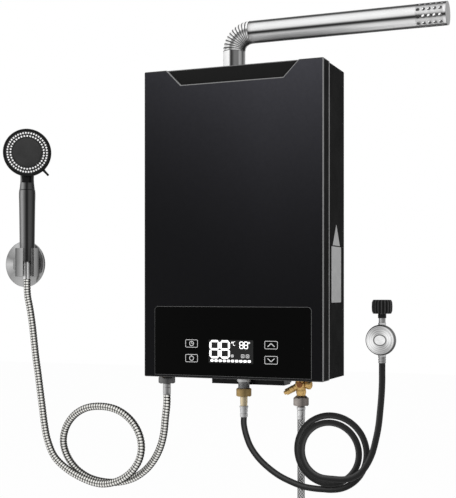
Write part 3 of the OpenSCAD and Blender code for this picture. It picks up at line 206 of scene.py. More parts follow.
def bevelled(bm: Shape, width: float, segments: int = 2, least: float = 30) -> Shape:
    """Bevel every edge that is sharper than an angle.

    Args:
        bm: Shape to bevel.
        width: Width cut from each side.
        segments: Faces across the bevel.
        least: Least angle between two faces, in degrees.

    Returns:
        The same shape.
    """
    face_out(bm)
    cut_edges(bm, [e for e in bm.edges if is_sharp(e, least)], width, segments)
    return bm


def block(low: Point, high: Point, bevel: float = 0.6, segments: int = 2) -> Shape:
    """Bevelled block between two corners.

    Args:
        low: Corner with the least of each coordinate.
        high: Corner with the most.
        bevel: Width of its bevels; none at 0.
        segments: Steps of a bevel.

    Returns:
        The shape.
    """
    bm = bmesh.new()
    bmesh.ops.create_cube(bm, size=1.0)
    size = [h - l for l, h in zip(low, high)]
    bmesh.ops.scale(bm, vec=size, verts=bm.verts[:])
    bmesh.ops.translate(bm, vec=[(h + l) / 2 for l, h in zip(low, high)], verts=bm.verts[:])
    return bevelled(bm, bevel, segments) if bevel else bm


def plate(outline: Outline, thick: float, bevel: float = 0, segments: int = 2) -> Shape:
    """Flat plate whose outline lies on XZ.

    Args:
        outline: Points of the outline.
        thick: Thickness, towards -Y.
        bevel: Width of its bevels; none at 0.
        segments: Steps of a bevel.

    Returns:
        The shape.
    """
    bm = bmesh.new()
    thicken(bm, [bm.faces.new([bm.verts.new((x, 0, z)) for x, z in outline])], thick)
    return bevelled(bm, bevel, segments) if bevel else bm


def arc(x: float, z: float, r: float, start: float, end: float, cuts: int) -> list[tuple[float, float]]:
    """Points of an arc in degrees, both ends included."""
    turns = [radians(start + (end - start) * k / cuts) for k in range(cuts + 1)]
    return [(x + r * cos(a), z + r * sin(a)) for a in turns]


def round_box(w: float, h: float, r: float, cuts: int = 4) -> list[tuple[float, float]]:
    """Outline of a rectangle with round corners, about its middle."""
    return [p for sx, sz, a in ((1, 1, 0), (-1, 1, 90), (-1, -1, 180), (1, -1, 270)) for p in arc(
        sx * (w / 2 - r), sz * (h / 2 - r), r, a, a + 90, cuts)]


def frame_line(outer: Outline, inner: Outline, thick: float) -> Shape:
    """Flat line between two outlines on XZ.

    Args:
        outer: Outer outline.
        inner: Inner outline, with as many points.
        thick: Thickness, towards -Y.

    Returns:
        The shape.
    """
    bm = bmesh.new()
    loops = []
    for line in (outer, inner):
        spots = [bm.verts.new((x, 0, z)) for x, z in line]
        loops += [bm.edges.new(pair) for pair in zip(spots, spots[1:] + spots[:1])]
    thicken(bm, bmesh.ops.bridge_loops(bm, edges=loops)["faces"], thick)
    return bm


def hexagon(across: float, height: float) -> Shape:
    """Upright hexagon with the turned chamfer of a nut at both ends.

    Args:
        across: Width across its flats.
        height: Height from its foot at Z 0.

    Returns:
        The shape.
    """
    bm = bmesh.new()
    corner = across / sqrt(3)
    bmesh.ops.create_cone(bm, cap_ends=True, segments=6, radius1=corner, radius2=corner, depth=height)
    bmesh.ops.translate(bm, vec=(0, 0, height / 2), verts=bm.verts[:])
    rims = [e for e in bm.edges if abs(e.verts[0].co.z - e.verts[1].co.z) < 1e-6]
    bmesh.ops.subdivide_edges(bm, edges=rims, cuts=5)
    drop = (corner - across / 2) * 0.75
    for v in bm.verts:
        reach = hypot(v.co.x, v.co.y) - across / 2
        shift = drop * max(reach, 0) / (corner - across / 2)
        v.co.z += shift if v.co.z < height / 2 else -shift
    return bevelled(bm, 0.35, 2, 40)


def lofted(rings: Sequence[tuple[Matrix, float, float]], sides: int = 32, caps: bool = True) -> Shape:
    """Skin over oval rings.

    Args:
        rings: (place, half width along X, half width along Y) of each ring.
        sides: Number of sides.
        caps: Whether both ends are closed.

    Returns:
        The skinned shape.
    """
    bm = bmesh.new()
    loops = []
    for place, wide, deep in rings:
        made = bmesh.ops.create_circle(bm, cap_ends=False, segments=sides, radius=1.0)
        bmesh.ops.scale(bm, vec=(wide, deep, 1), verts=made["verts"])
        bmesh.ops.transform(bm, matrix=place, verts=made["verts"])
        loops.append(list({e for v in made["verts"] for e in v.link_edges}))
    for first, second in zip(loops, loops[1:]):
        bmesh.ops.bridge_loops(bm, edges=first + second)
    if caps:
        bmesh.ops.holes_fill(bm, edges=[e for e in bm.edges if e.is_boundary], sides=0)
    return bm


def moved(x: float, y: float, z: float) -> Matrix:
    """Place at a point, unturned."""
    return Matrix.Translation((x, y, z))


def spun(degrees: float, axis: str) -> Matrix:
    """Place turned about one of the axes."""
    return Matrix.Rotation(radians(degrees), 4, axis)


ALONG_X = spun(90, "Y")
TO_FRONT = spun(90, "X")


def shown(name: str, data: bpy.types.ID) -> Piece:
    """Put an object into the scene.

    Args:
        name: Name of the object.
        data: Its mesh, lamp or camera.

    Returns:
        The object.
    """
    made = bpy.data.objects.new(name, data)
    bpy.context.scene.collection.objects.link(made)
    return made


class Workpiece:
    """A mesh being made, in millimetres, in the frame's axes."""

    def __init__(self, shape: Shape | None = None) -> None:
        """Start with nothing, or with a shape that is in its place already."""
        self.bm = bmesh.new() if shape is None else shape

    def add(self, part: Shape, place: Matrix | None = None) -> "Workpiece":
        """Merge a shape's doubles, turn its faces outward, put it in place and join it to this piece.

        Args:
            part: The shape, which is used up.
            place: Where it goes; none leaves it where it is.

        Returns:
            This piece.
        """
        bmesh.ops.remove_doubles(part, verts=part.verts[:], dist=SAME_SPOT)
        face_out(part)
        if place is not None:
            bmesh.ops.transform(part, matrix=place, verts=part.verts[:])
        held = bpy.data.meshes.new("held")
        part.to_mesh(held)
        part.free()
        self.bm.from_mesh(held)
        bpy.data.meshes.remove(held)
        return self

    def turn(self, profile: Outline, place: Matrix | None = None, steps: int = 40, ring: bool = True,
             soft: float = 0, cuts: int = 2) -> "Workpiece":
        """Turn a profile and add it.

        Args:
            profile: (radius, height) points, from end to end.
            place: Where the turned shape goes; none leaves it where it is.
            steps: Number of sides.
            ring: Whether the last point joins the first.
            soft: How far the profile's inner corners are cut back to round them; 0 leaves them sharp.
            cuts: Straight pieces in each rounded corner.

        Returns:
            This piece.
        """
        return self.add(turned(rounded(profile, soft, cuts) if soft else profile, steps, ring), place)

    def done(self, name: str, slot: Slot, finishes: Sequence[Finish], stands_for: Sequence[str] = (),
             smooth: float = 35, body: Body | None = Body.HEATER) -> Piece:
        """Bring the mesh to metres and make it a piece that rides on a body.

        Args:
            name: Name of the piece.
            slot: The record's slot of its finish; not used.
            finishes: Finishes, in the order of the faces' numbers.
            stands_for: CAD nodes that it takes the place of.
            smooth: Angle over which an edge stays sharp, in degrees.
            body: Body that it moves with; none for a piece that runs between two, which is then left on no body.

        Returns:
            The finished piece.
        """
        bmesh.ops.scale(self.bm, vec=(MM, MM, MM), verts=self.bm.verts[:])
        mesh = bpy.data.meshes.new(name)
        self.bm.to_mesh(mesh)
        self.bm.free()
        mesh.shade_smooth()
        mesh.set_sharp_from_angle(angle=radians(smooth))
        for finish in finishes:
            mesh.materials.append(finish.build())
        piece = shown(name, mesh)
        if body is not None:
            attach(piece, body.value)
        if stands_for:
            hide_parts(*stands_for)
        LOG.info("%s: %d faces on %s", name, len(mesh.polygons), body.value if body else "two bodies")
        return piece


@dataclass
class Route:
    """Line that a hose or pipe follows, through points in millimetres."""

    points: Sequence[Point]
    finer: int = 8
    line: list[Vector] = field(init=False)
    reach: list[float] = field(init=False)
    sides: list[Vector] = field(init=False)

    def __post_init__(self) -> None:
        """Draw the smooth line, its running length and its side directions."""
        p = [Vector(q) for q in self.points]
        self.line = [p[0]]
        for i in range(len(p) - 1):
            a, b, c, d = p[max(i - 1, 0)], p[i], p[i + 1], p[min(i + 2, len(p) - 1)]
            for k in range(1, self.finer + 1):
                t = k / self.finer
                self.line.append(0.5 * (2 * b + (c - a) * t + (2 * a - 5 * b + 4 * c - d) * t * t
                                        + (3 * b - a - 3 * c + d) * t ** 3))
        self.reach = [0]
        for a, b in zip(self.line, self.line[1:]):
            self.reach.append(self.reach[-1] + (b - a).length)
        side = Vector((0, 1, 0))
        self.sides = []
        for i in range(len(self.line)):
            ahead = self.heading(i)
            side = (side - side.dot(ahead) * ahead).normalized()
            self.sides.append(side.copy())

    def heading(self, i: int) -> Vector:
        """Direction of the line at one of its points."""
        return (self.line[min(i + 1, len(self.line) - 1)] - self.line[max(i - 1, 0)]).normalized()

    @property
    def length(self) -> float:
        """Length of the line in millimetres."""
        return self.reach[-1]

    def place(self, along: float) -> Matrix:
        """Place on the line, +Z along it and +X to its side.

        Args:
            along: Running length from the line's start.

        Returns:
            The place.
        """
        i = max(0, min(bisect_right(self.reach, along) - 1, len(self.line) - 2))
        span = max(self.reach[i + 1] - self.reach[i], 1e-9)
        t = (along - self.reach[i]) / span
        spot = self.line[i].lerp(self.line[i + 1], t)
        ahead = self.heading(i).lerp(self.heading(i + 1), max(0, min(t, 1))).normalized()
        side = self.sides[i].lerp(self.sides[i + 1], max(0, min(t, 1)))
        side = (side - side.dot(ahead) * ahead).normalized()
        up = ahead.cross(side)
        return Matrix.Translation(spot) @ Matrix(((side.x, up.x, ahead.x), (side.y, up.y, ahead.y),
                                                  (side.z, up.z, ahead.z))).to_4x4()

    def bend(self, bm: Shape) -> Shape:
        """Map a straight shape that stands on Z onto the line, after giving it a surface map.

        Args:
            bm: Straight shape, with its running length along Z.

        Returns:
            The same shape, bent; its map holds the turn round the line and the running length in millimetres.
        """
        chart = bm.loops.layers.uv.new("surface")
        for face in bm.faces:
            middle = face.calc_center_median()
            centre = atan2(middle.y, middle.x) / tau
            for loop in face.loops:
                co = loop.vert.co
                turn = atan2(co.y, co.x) / tau if co.xy.length > 1e-3 else centre
                turn += 1 if turn - centre < -0.5 else (-1 if turn - centre > 0.5 else 0)
                loop[chart].uv = (turn, co.z)
        held: dict[float, Matrix] = {}
        for v in bm.verts:
            key = round(v.co.z, 4)
            if key not in held:
                held[key] = self.place(v.co.z)
            v.co = held[key] @ Vector((v.co.x, v.co.y, 0))
        return bm

    def metres(self) -> list[list[float]]:
        """The smooth line's points in metres."""
        return [list(p * MM) for p in self.line]

    def tube(self, profile: Outline, sides: int, ring: bool = False) -> Workpiece:
        """Turn a straight tube and bend it along the line.

        Args:
            profile: (radius, running length) points.
            sides: Steps round the tube.
            ring: Whether the profile closes on itself.

        Returns:
            The tube, not yet finished.
        """
        bm = turned(profile, sides, ring)
        face_out(bm)
        return Workpiece(self.bend(bm))

    def rod(self, radius: float, steps: int, sides: int) -> Workpiece:
        """Closed round rod along the line, in even steps."""
        side = [(radius, self.length * i / steps) for i in range(steps + 1)]
        return self.tube([(0, 0), *side, (0, self.length)], sides)


# ---- effects shared by the finishes

SPECK_SCALE = 45
WIPED = (0.35, 0.7)
FINE_GRAIN = 0.15
GRAIN_DEPTH = 0.0004
COAT_ROUGH = 0.08


class Nodes:
    """Short way to place and join shader nodes."""

    def __init__(self, tree: Tree) -> None:
        """Work on one node tree."""
        self.tree = tree

    def feed(self, socket: Socket, value: object) -> None:
        """Join a socket to an input, or set the input to a value."""
        if isinstance(value, Socket):
            self.tree.links.new(value, socket)
        else:
            socket.default_value = value

    def put(self, kind: str, **settings: object) -> Node:
        """Place a shader node.

        Args:
            kind: Its type, without ShaderNode.
            settings: Its properties, or its inputs by name or number after in_.

        Returns:
            The node.
        """
        node = self.tree.nodes.new("ShaderNode" + kind)
        for name, value in settings.items():
            if name.startswith("in_"):
                key = name[3:]
                self.feed(node.inputs[int(key) if key.isdigit() else key.replace("_", " ")], value)
            else:
                setattr(node, name, value)
        return node

    def maths(self, operation: str, *values: object) -> Socket:
        """Place a Math node.

        Args:
            operation: What it does.
            values: Numbers or sockets.

        Returns:
            Its output.
        """
        node = self.put("Math", operation=operation)
        for socket, value in zip(node.inputs, values):
            self.feed(socket, value)
        return node.outputs[0]

    def plus(self, first: object, second: object) -> Socket:
        """Sum of two numbers or sockets."""
        return self.maths("ADD", first, second)

    def times(self, first: object, second: object) -> Socket:
        """Product of two numbers or sockets."""
        return self.maths("MULTIPLY", first, second)

    def group(self, tree: Tree, **settings: object) -> Node:
        """Place a node group."""
        return self.put("Group", node_tree=tree, **settings)

    def spread(self, value: Socket, *limits: object) -> Socket:
        """Map a range onto another, held at its ends.

        Args:
            value: What is mapped.
            limits: From low, from high, to low and to high.

        Returns:
            The mapped value.
        """
        node = self.put("MapRange", clamp=True, in_Value=value)
        for socket, limit in zip(node.inputs[1:5], limits):
            self.feed(socket, limit)
        return node.outputs[0]

    def shade(self, colour: object, level: Socket) -> Socket:
        """Multiply a colour by a level.

        Args:
            colour: Colour or socket.
            level: What it is multiplied by.

        Returns:
            The colour.
        """
        node = self.put("VectorMath", operation="SCALE")
        self.feed(node.inputs[0], colour)
        self.feed(node.inputs[3], level)
        return node.outputs[0]

    def seen_white(self) -> Socket:
        """1 for rays from the camera, off a mirror or through glass, else 0."""
        path = self.put("LightPath")
        return self.maths("MAXIMUM", self.maths("MAXIMUM", path.outputs["Is Camera Ray"],
                                                path.outputs["Is Glossy Ray"]), path.outputs["Is Transmission Ray"])

    def painted_light_level(self, turn: Socket, painted_light_stops: Outline) -> Socket:
        """Smooth level of painted light and shade by the place round an axis.

        Args:
            turn: Place round the axis, 0 to 1.
            painted_light_stops: (place, level) points.

        Returns:
            The level.
        """
        ramp = self.put("ValToRGB", in_Fac=turn)
        ramp.color_ramp.interpolation = "LINEAR"
        band = ramp.color_ramp.elements
        while len(band) < len(painted_light_stops):
            band.new(0.5)
        for element, (place, level) in zip(band, painted_light_stops):
            element.position = place
            element.color = (level, level, level, 1)
        return ramp.outputs[0]


def effect(name: str, inputs: Sequence[tuple[str, str, object]], outputs: Sequence[tuple[str, str]],
           build: Callable[[Nodes, Sockets, Sockets], None]) -> Tree:
    """Make a shader node group once.

    Args:
        name: Name of the group.
        inputs: (name, kind, value at rest) of each input; kind is Float, Vector or Color.
        outputs: (name, kind) of each output.
        build: Places the nodes between the sockets of the group's input and output.

    Returns:
        The group.
    """
    if name in bpy.data.node_groups:
        return bpy.data.node_groups[name]
    tree = bpy.data.node_groups.new(name, "ShaderNodeTree")
    for label, kind, value in inputs:
        socket = tree.interface.new_socket(name=label, in_out="INPUT", socket_type="NodeSocket" + kind)
        if value is not None:
            socket.default_value = value
    for label, kind in outputs:
        tree.interface.new_socket(name=label, in_out="OUTPUT", socket_type="NodeSocket" + kind)
    build(Nodes(tree), tree.nodes.new("NodeGroupInput").outputs, tree.nodes.new("NodeGroupOutput").inputs)
    return tree


def tone_drift() -> Tree:
    """Colour that drifts lighter and darker over the surface, with a fine speckle on top.

    Returns:
        The group.
    """
    def build(n: Nodes, given: Sockets, out: Sockets) -> None:
        """Place the group's nodes.

        Args:
            n: Writer of its nodes.
            given: Sockets of its input.
            out: Sockets of its output.
        """
        broad = n.put("TexNoise", in_Vector=given["Place"], in_Scale=given["Scale"], in_Detail=3.0)
        fine = n.put("TexNoise", in_Vector=given["Place"], in_Scale=n.times(given["Scale"], SPECK_SCALE),
                     in_Detail=2.0)
        swing = n.times(n.maths("SUBTRACT", broad.outputs["Fac"], 0.5), given["Drift"])
        specks = n.times(n.maths("SUBTRACT", fine.outputs["Fac"], 0.5), given["Speckle"])
        level = n.plus(n.plus(swing, specks), 1)
        n.feed(out["Colour"], n.shade(given["Colour"], level))
    inputs = [("Place", "Vector", None), ("Colour", "Color", (0.5, 0.5, 0.5, 1)), ("Scale", "Float", 6),
              ("Drift", "Float", 0.3), ("Speckle", "Float", 0.1)]
    return effect("tone_drift", inputs, [("Colour", "Color")], build)


def handling_marks() -> Tree:
    """Roughness that differs where a surface was wiped and touched."""
    def build(n: Nodes, given: Sockets, out: Sockets) -> None:
        """Place the group's nodes.

        Args:
            n: Writer of its nodes.
            given: Sockets of its input.
            out: Sockets of its output.
        """
        cloud = n.put("TexNoise", in_Vector=given["Place"], in_Scale=given["Scale"], in_Detail=5.0, in_Roughness=0.6)
        n.feed(out["Roughness"], n.spread(cloud.outputs["Fac"], *WIPED, given["Least"], given["Most"]))
    return effect("handling_marks", [("Place", "Vector", None), ("Scale", "Float", 9), ("Least", "Float", 0.3),
                                     ("Most", "Float", 0.5)], [("Roughness", "Float")], build)


def surface_grain() -> Tree:
    """Height of a fine, stretched grain: even for paint and plastic, drawn out for brushed metal."""
    def build(n: Nodes, given: Sockets, out: Sockets) -> None:
        """Place the group's nodes.

        Args:
            n: Writer of its nodes.
            given: Sockets of its input.
            out: Sockets of its output.
        """
        laid = n.put("VectorMath", operation="MULTIPLY", in_0=given["Place"], in_1=given["Stretch"])
        pits = n.put("TexNoise", in_Vector=laid.outputs[0], in_Scale=given["Scale"], in_Detail=3.0, in_Roughness=0.65)
        n.feed(out["Height"], pits.outputs["Fac"])
    return effect("surface_grain", [("Place", "Vector", None), ("Stretch", "Vector", (1, 1, 1)),
                                    ("Scale", "Float", 900)], [("Height", "Float")], build)


def round_axis() -> Tree:
    """Place round the Z axis from 0 to 1, distance from it, and millimetres along it."""
    def build(n: Nodes, given: Sockets, out: Sockets) -> None:
        """Place the group's nodes.

        Args:
            n: Writer of its nodes.
            given: Sockets of its input.
            out: Sockets of its output.
        """
        parts = n.put("SeparateXYZ", in_Vector=given["Place"])
        x, y = parts.outputs[0], parts.outputs[1]
        turn = n.maths("DIVIDE", n.maths("ARCTAN2", y, x), tau)
        n.feed(out["Turn"], n.maths("FRACT", n.plus(turn, given["Phase"])))
        reach = n.maths("SQRT", n.plus(n.times(x, x), n.times(y, y)))
        n.feed(out["Reach"], n.times(reach, 1 / MM))
        n.feed(out["Run"], n.times(parts.outputs[2], 1 / MM))
    return effect("round_axis", [("Place", "Vector", None), ("Phase", "Float", 0)],
                  [("Turn", "Float"), ("Reach", "Float"), ("Run", "Float")], build)


# ---- finishes

@dataclass(frozen=True)
class Finish:
    """Even finish of paint, plastic, rubber or metal with tone drift, grain and handling marks."""

    name: str
    colour: Colour
    least_rough: float = 0.35
    most_rough: float = 0.5
    metal: float = 0.0
    specular: float = 0.5
    drift: float = 0.25
    drift_scale: float = 7.0
    speckle: float = 0.12
    grain: float = 900.0
    stretch: Point = (1, 1, 1)
    relief: float = 0.12
    coat: float = 0.0
    glow: float = 0.0
    glance: float = 0.12

    def build(self) -> bpy.types.Material:
        """Make the material, or give the one already made.

        Returns:
            The material.
        """
        if self.name in bpy.data.materials:
            return bpy.data.materials[self.name]
        material = bpy.data.materials.new(self.name)
        material.use_nodes = True
        shader = next(x for x in material.node_tree.nodes if x.type == "BSDF_PRINCIPLED")
        fixed = {"Metallic": self.metal, "Specular IOR Level": self.specular, "Coat Weight": self.coat,
                 "Coat Roughness": COAT_ROUGH}
        if self.metal > 0.5:
            fixed["Specular Tint"] = (self.glance, self.glance, self.glance, 1)
        if self.glow:
            fixed |= {"Emission Color": (*self.colour, 1), "Emission Strength": self.glow}
        for label, value in fixed.items():
            shader.inputs[label].default_value = value
        n = Nodes(material.node_tree)
        self.paint(n, shader, n.put("TexCoord").outputs[Space.OBJECT.value])
        return material

    def paint(self, n: Nodes, shader: Node, place: Socket) -> None:
        """Lay the finish's pattern on its shader; this one has only the shared effects."""
        self.dress(n, shader, place)

    def dress(self, n: Nodes, shader: Node, place: Socket, colour: object = None, height: Socket | None = None) -> None:
        """Join the shared effects to the shader.

        Args:
            n: Nodes of the material.
            shader: Its shader.
            place: Coordinates that the effects lie on.
            colour: Colour socket, or none for the finish's own colour.
            height: Height to add to the grain, or none.
        """
        drift = n.group(tone_drift(), in_Place=place, in_Scale=self.drift_scale, in_Drift=self.drift,
                        in_Speckle=self.speckle, in_Colour=(*self.colour, 1) if colour is None else colour)
        n.feed(shader.inputs["Base Color"], drift.outputs[0])
        marks = n.group(handling_marks(), in_Place=place, in_Scale=self.drift_scale * 2.5, in_Least=self.least_rough,
                        in_Most=self.most_rough)
        n.feed(shader.inputs["Roughness"], marks.outputs[0])
        grain = n.group(surface_grain(), in_Place=place, in_Stretch=self.stretch, in_Scale=self.grain)
        high = grain.outputs[0]
        if height is not None:
            high = n.plus(n.times(high, FINE_GRAIN), height)
        bump = n.put("Bump", in_Strength=self.relief, in_Distance=GRAIN_DEPTH, in_Height=high)
        n.feed(shader.inputs["Normal"], bump.outputs[0])


@dataclass(frozen=True)
class CasePaintWithPaintedSheen(Finish):
    """Satin black powder coat with a painted sheen: lighter towards the top right, where the light falls on it."""

    # painted sheen: the colour at the shaded lower left and at the lit upper right
    low: Colour = tint(14.5, 14.5, 16.5)
    high: Colour = tint(60, 60, 65)
    across: Sequence[float] = (-0.17, 0.06, -0.105, 0.02)
    rise: Sequence[float] = (-0.24, 0.31, 0, 1)
    power: float = 2.77

    def paint(self, n: Nodes, shader: Node, place: Socket) -> None:
        """Lay the painted sheen: a slow rise from dark to light across the case, towards the top right.

        Args:
            n: Writer of the material's nodes.
            shader: The material's Principled node.
            place: Coordinates on the surface.
        """
        parts = n.put("SeparateXYZ", in_Vector=place)
        side = n.spread(parts.outputs[0], *self.across)
        slope = n.plus(side, parts.outputs[2])
        rise = n.maths("POWER", n.spread(slope, *self.rise), self.power)
        # painted sheen: mix from the shaded colour to the lit one as the place rises towards the top right
        mixed = n.put("Mix", data_type="RGBA", in_Factor=rise)
        mixed.inputs[6].default_value, mixed.inputs[7].default_value = (*self.low, 1), (*self.high, 1)
        self.dress(n, shader, place, mixed.outputs[2])


@dataclass(frozen=True)
class PaintedLightRound(Finish):
    """Round part with painted highlights and painted shade: light and dark bands along it, standing in for the
    reflections round it.
    """

    painted_light_stops: Outline = ((0, 0.8), (1, 0.8))
    space: Space = Space.SURFACE
    centre: Point = (0, 0, 0)
    axis: str = "z"
    rings: float = 0.0
    ring_level: float = 0.35
    phase: float = 0.0
    repeat: int = 1

    def turn(self, n: Nodes) -> tuple[Socket, Socket]:
        """Measure the place round and along the axis.

        Args:
            n: Writer of the material's nodes.

        Returns:
            Place round it, 0 to 1, and length along it in millimetres.
        """
        coords = n.put("TexCoord")
        if self.space is Space.SURFACE:
            parts = n.put("SeparateXYZ", in_Vector=coords.outputs["UV"])
            return (n.maths("FRACT", n.plus(parts.outputs[0], self.phase)), parts.outputs[1])
        tilt = {"x": (0, pi / 2, 0), "y": (-pi / 2, 0, 0), "z": (0, 0, 0)}[self.axis]
        laid = n.put("Mapping", vector_type="TEXTURE", in_Vector=coords.outputs["Object"],
                     in_Location=[c * MM for c in self.centre], in_Rotation=tilt)
        found = n.group(round_axis(), in_Place=laid.outputs[0], in_Phase=self.phase)
        return (found.outputs["Turn"], found.outputs["Run"])

    def paint(self, n: Nodes, shader: Node, place: Socket) -> None:
        """Lay the painted bands of highlight and shade and, where asked, dark rings painted as shade in the grooves.

        Args:
            n: Writer of the material's nodes.
            shader: The material's Principled node.
            place: Coordinates on the surface.
        """
        turn, run = self.turn(n)
        if self.repeat > 1:
            turn = n.maths("FRACT", n.times(turn, float(self.repeat)))
        level = n.painted_light_level(turn, self.painted_light_stops)
        # painted shade: where asked, dark rings along the grooves, one to each rib
        if self.rings:
            wave = n.maths("COSINE", n.times(run, tau / self.rings))
            level = n.times(level, n.spread(wave, 0, 0.8, 1, self.ring_level))
        self.dress(n, shader, place, n.shade(self.colour, level))


@dataclass(frozen=True)
class BraidedWire(Finish):
    """Crossed wire strands round a hose, with painted shade where they dip into the gaps."""

    strands: int = 8
    lay: float = 26.0

    def paint(self, n: Nodes, shader: Node, place: Socket) -> None:
        """Cross two sets of strands on the hose's own map.

        Args:
            n: Writer of the material's nodes.
            shader: The material's Principled node.
            place: Coordinates on the surface.
        """
        parts = n.put("SeparateXYZ", in_Vector=n.put("TexCoord").outputs["UV"])
        around = n.times(parts.outputs[0], float(self.strands))
        along = n.times(parts.outputs[1], self.strands / self.lay)
        left = n.maths("PINGPONG", n.plus(around, along), 0.5)
        right = n.maths("PINGPONG", n.maths("SUBTRACT", around, along), 0.5)
        over = n.maths("GREATER_THAN", n.maths("SINE", n.times(along, pi)), 0)
        mixed = n.put("Mix", data_type="FLOAT", in_Factor=over)
        n.feed(mixed.inputs[2], left)
        n.feed(mixed.inputs[3], right)
        height = n.spread(mixed.outputs[0], 0.05, 0.45, 0, 1)
        # painted shade: the colour darkens where the strands dip into the gaps between them
        level = n.spread(height, 0.05, 0.8, 0.05, 1)
        self.dress(n, shader, place, n.shade(self.colour, level), height)


@dataclass(frozen=True)
class SpunMetal(Finish):
    """Sheet metal with the fine rings of spinning round an axis along Y, a painted fan of highlight and shade across
    it, and darker past its rim.
    """

    centre: Point = (0, 0, 0)
    ring: float = 3.2
    ring_level: float = 0.14
    painted_fan_level: float = 0.26
    painted_fan_turn: float = 0.9
    mean_level: float = 0.74
    rim: float = 23.4

    def paint(self, n: Nodes, shader: Node, place: Socket) -> None:
        """Lay the rings, the painted fan of highlight and shade, and the darker band past the rim.

        Args:
            n: Writer of the material's nodes.
            shader: The material's Principled node.
            place: Coordinates on the surface.
        """
        laid = n.put("Mapping", vector_type="TEXTURE", in_Vector=place, in_Location=[c * MM for c in self.centre],
                     in_Rotation=(pi / 2, 0, 0))
        found = n.group(round_axis(), in_Place=laid.outputs[0])
        rings = n.maths("SINE", n.times(found.outputs["Reach"], tau / self.ring))
        # painted highlight: a fan of light and shade, twice round the face
        fan = n.maths("SINE", n.plus(n.times(found.outputs["Turn"], 2 * tau), self.painted_fan_turn))
        level = n.plus(n.times(fan, self.painted_fan_level), n.times(rings, self.ring_level))
        # darker past the rim, down to three tenths of the level
        edge = n.spread(found.outputs["Reach"], self.rim - 0.4, self.rim, 1, 0.3)
        level = n.times(n.plus(level, self.mean_level), edge)
        self.dress(n, shader, place, n.shade(self.colour, level), n.times(rings, 0.5))


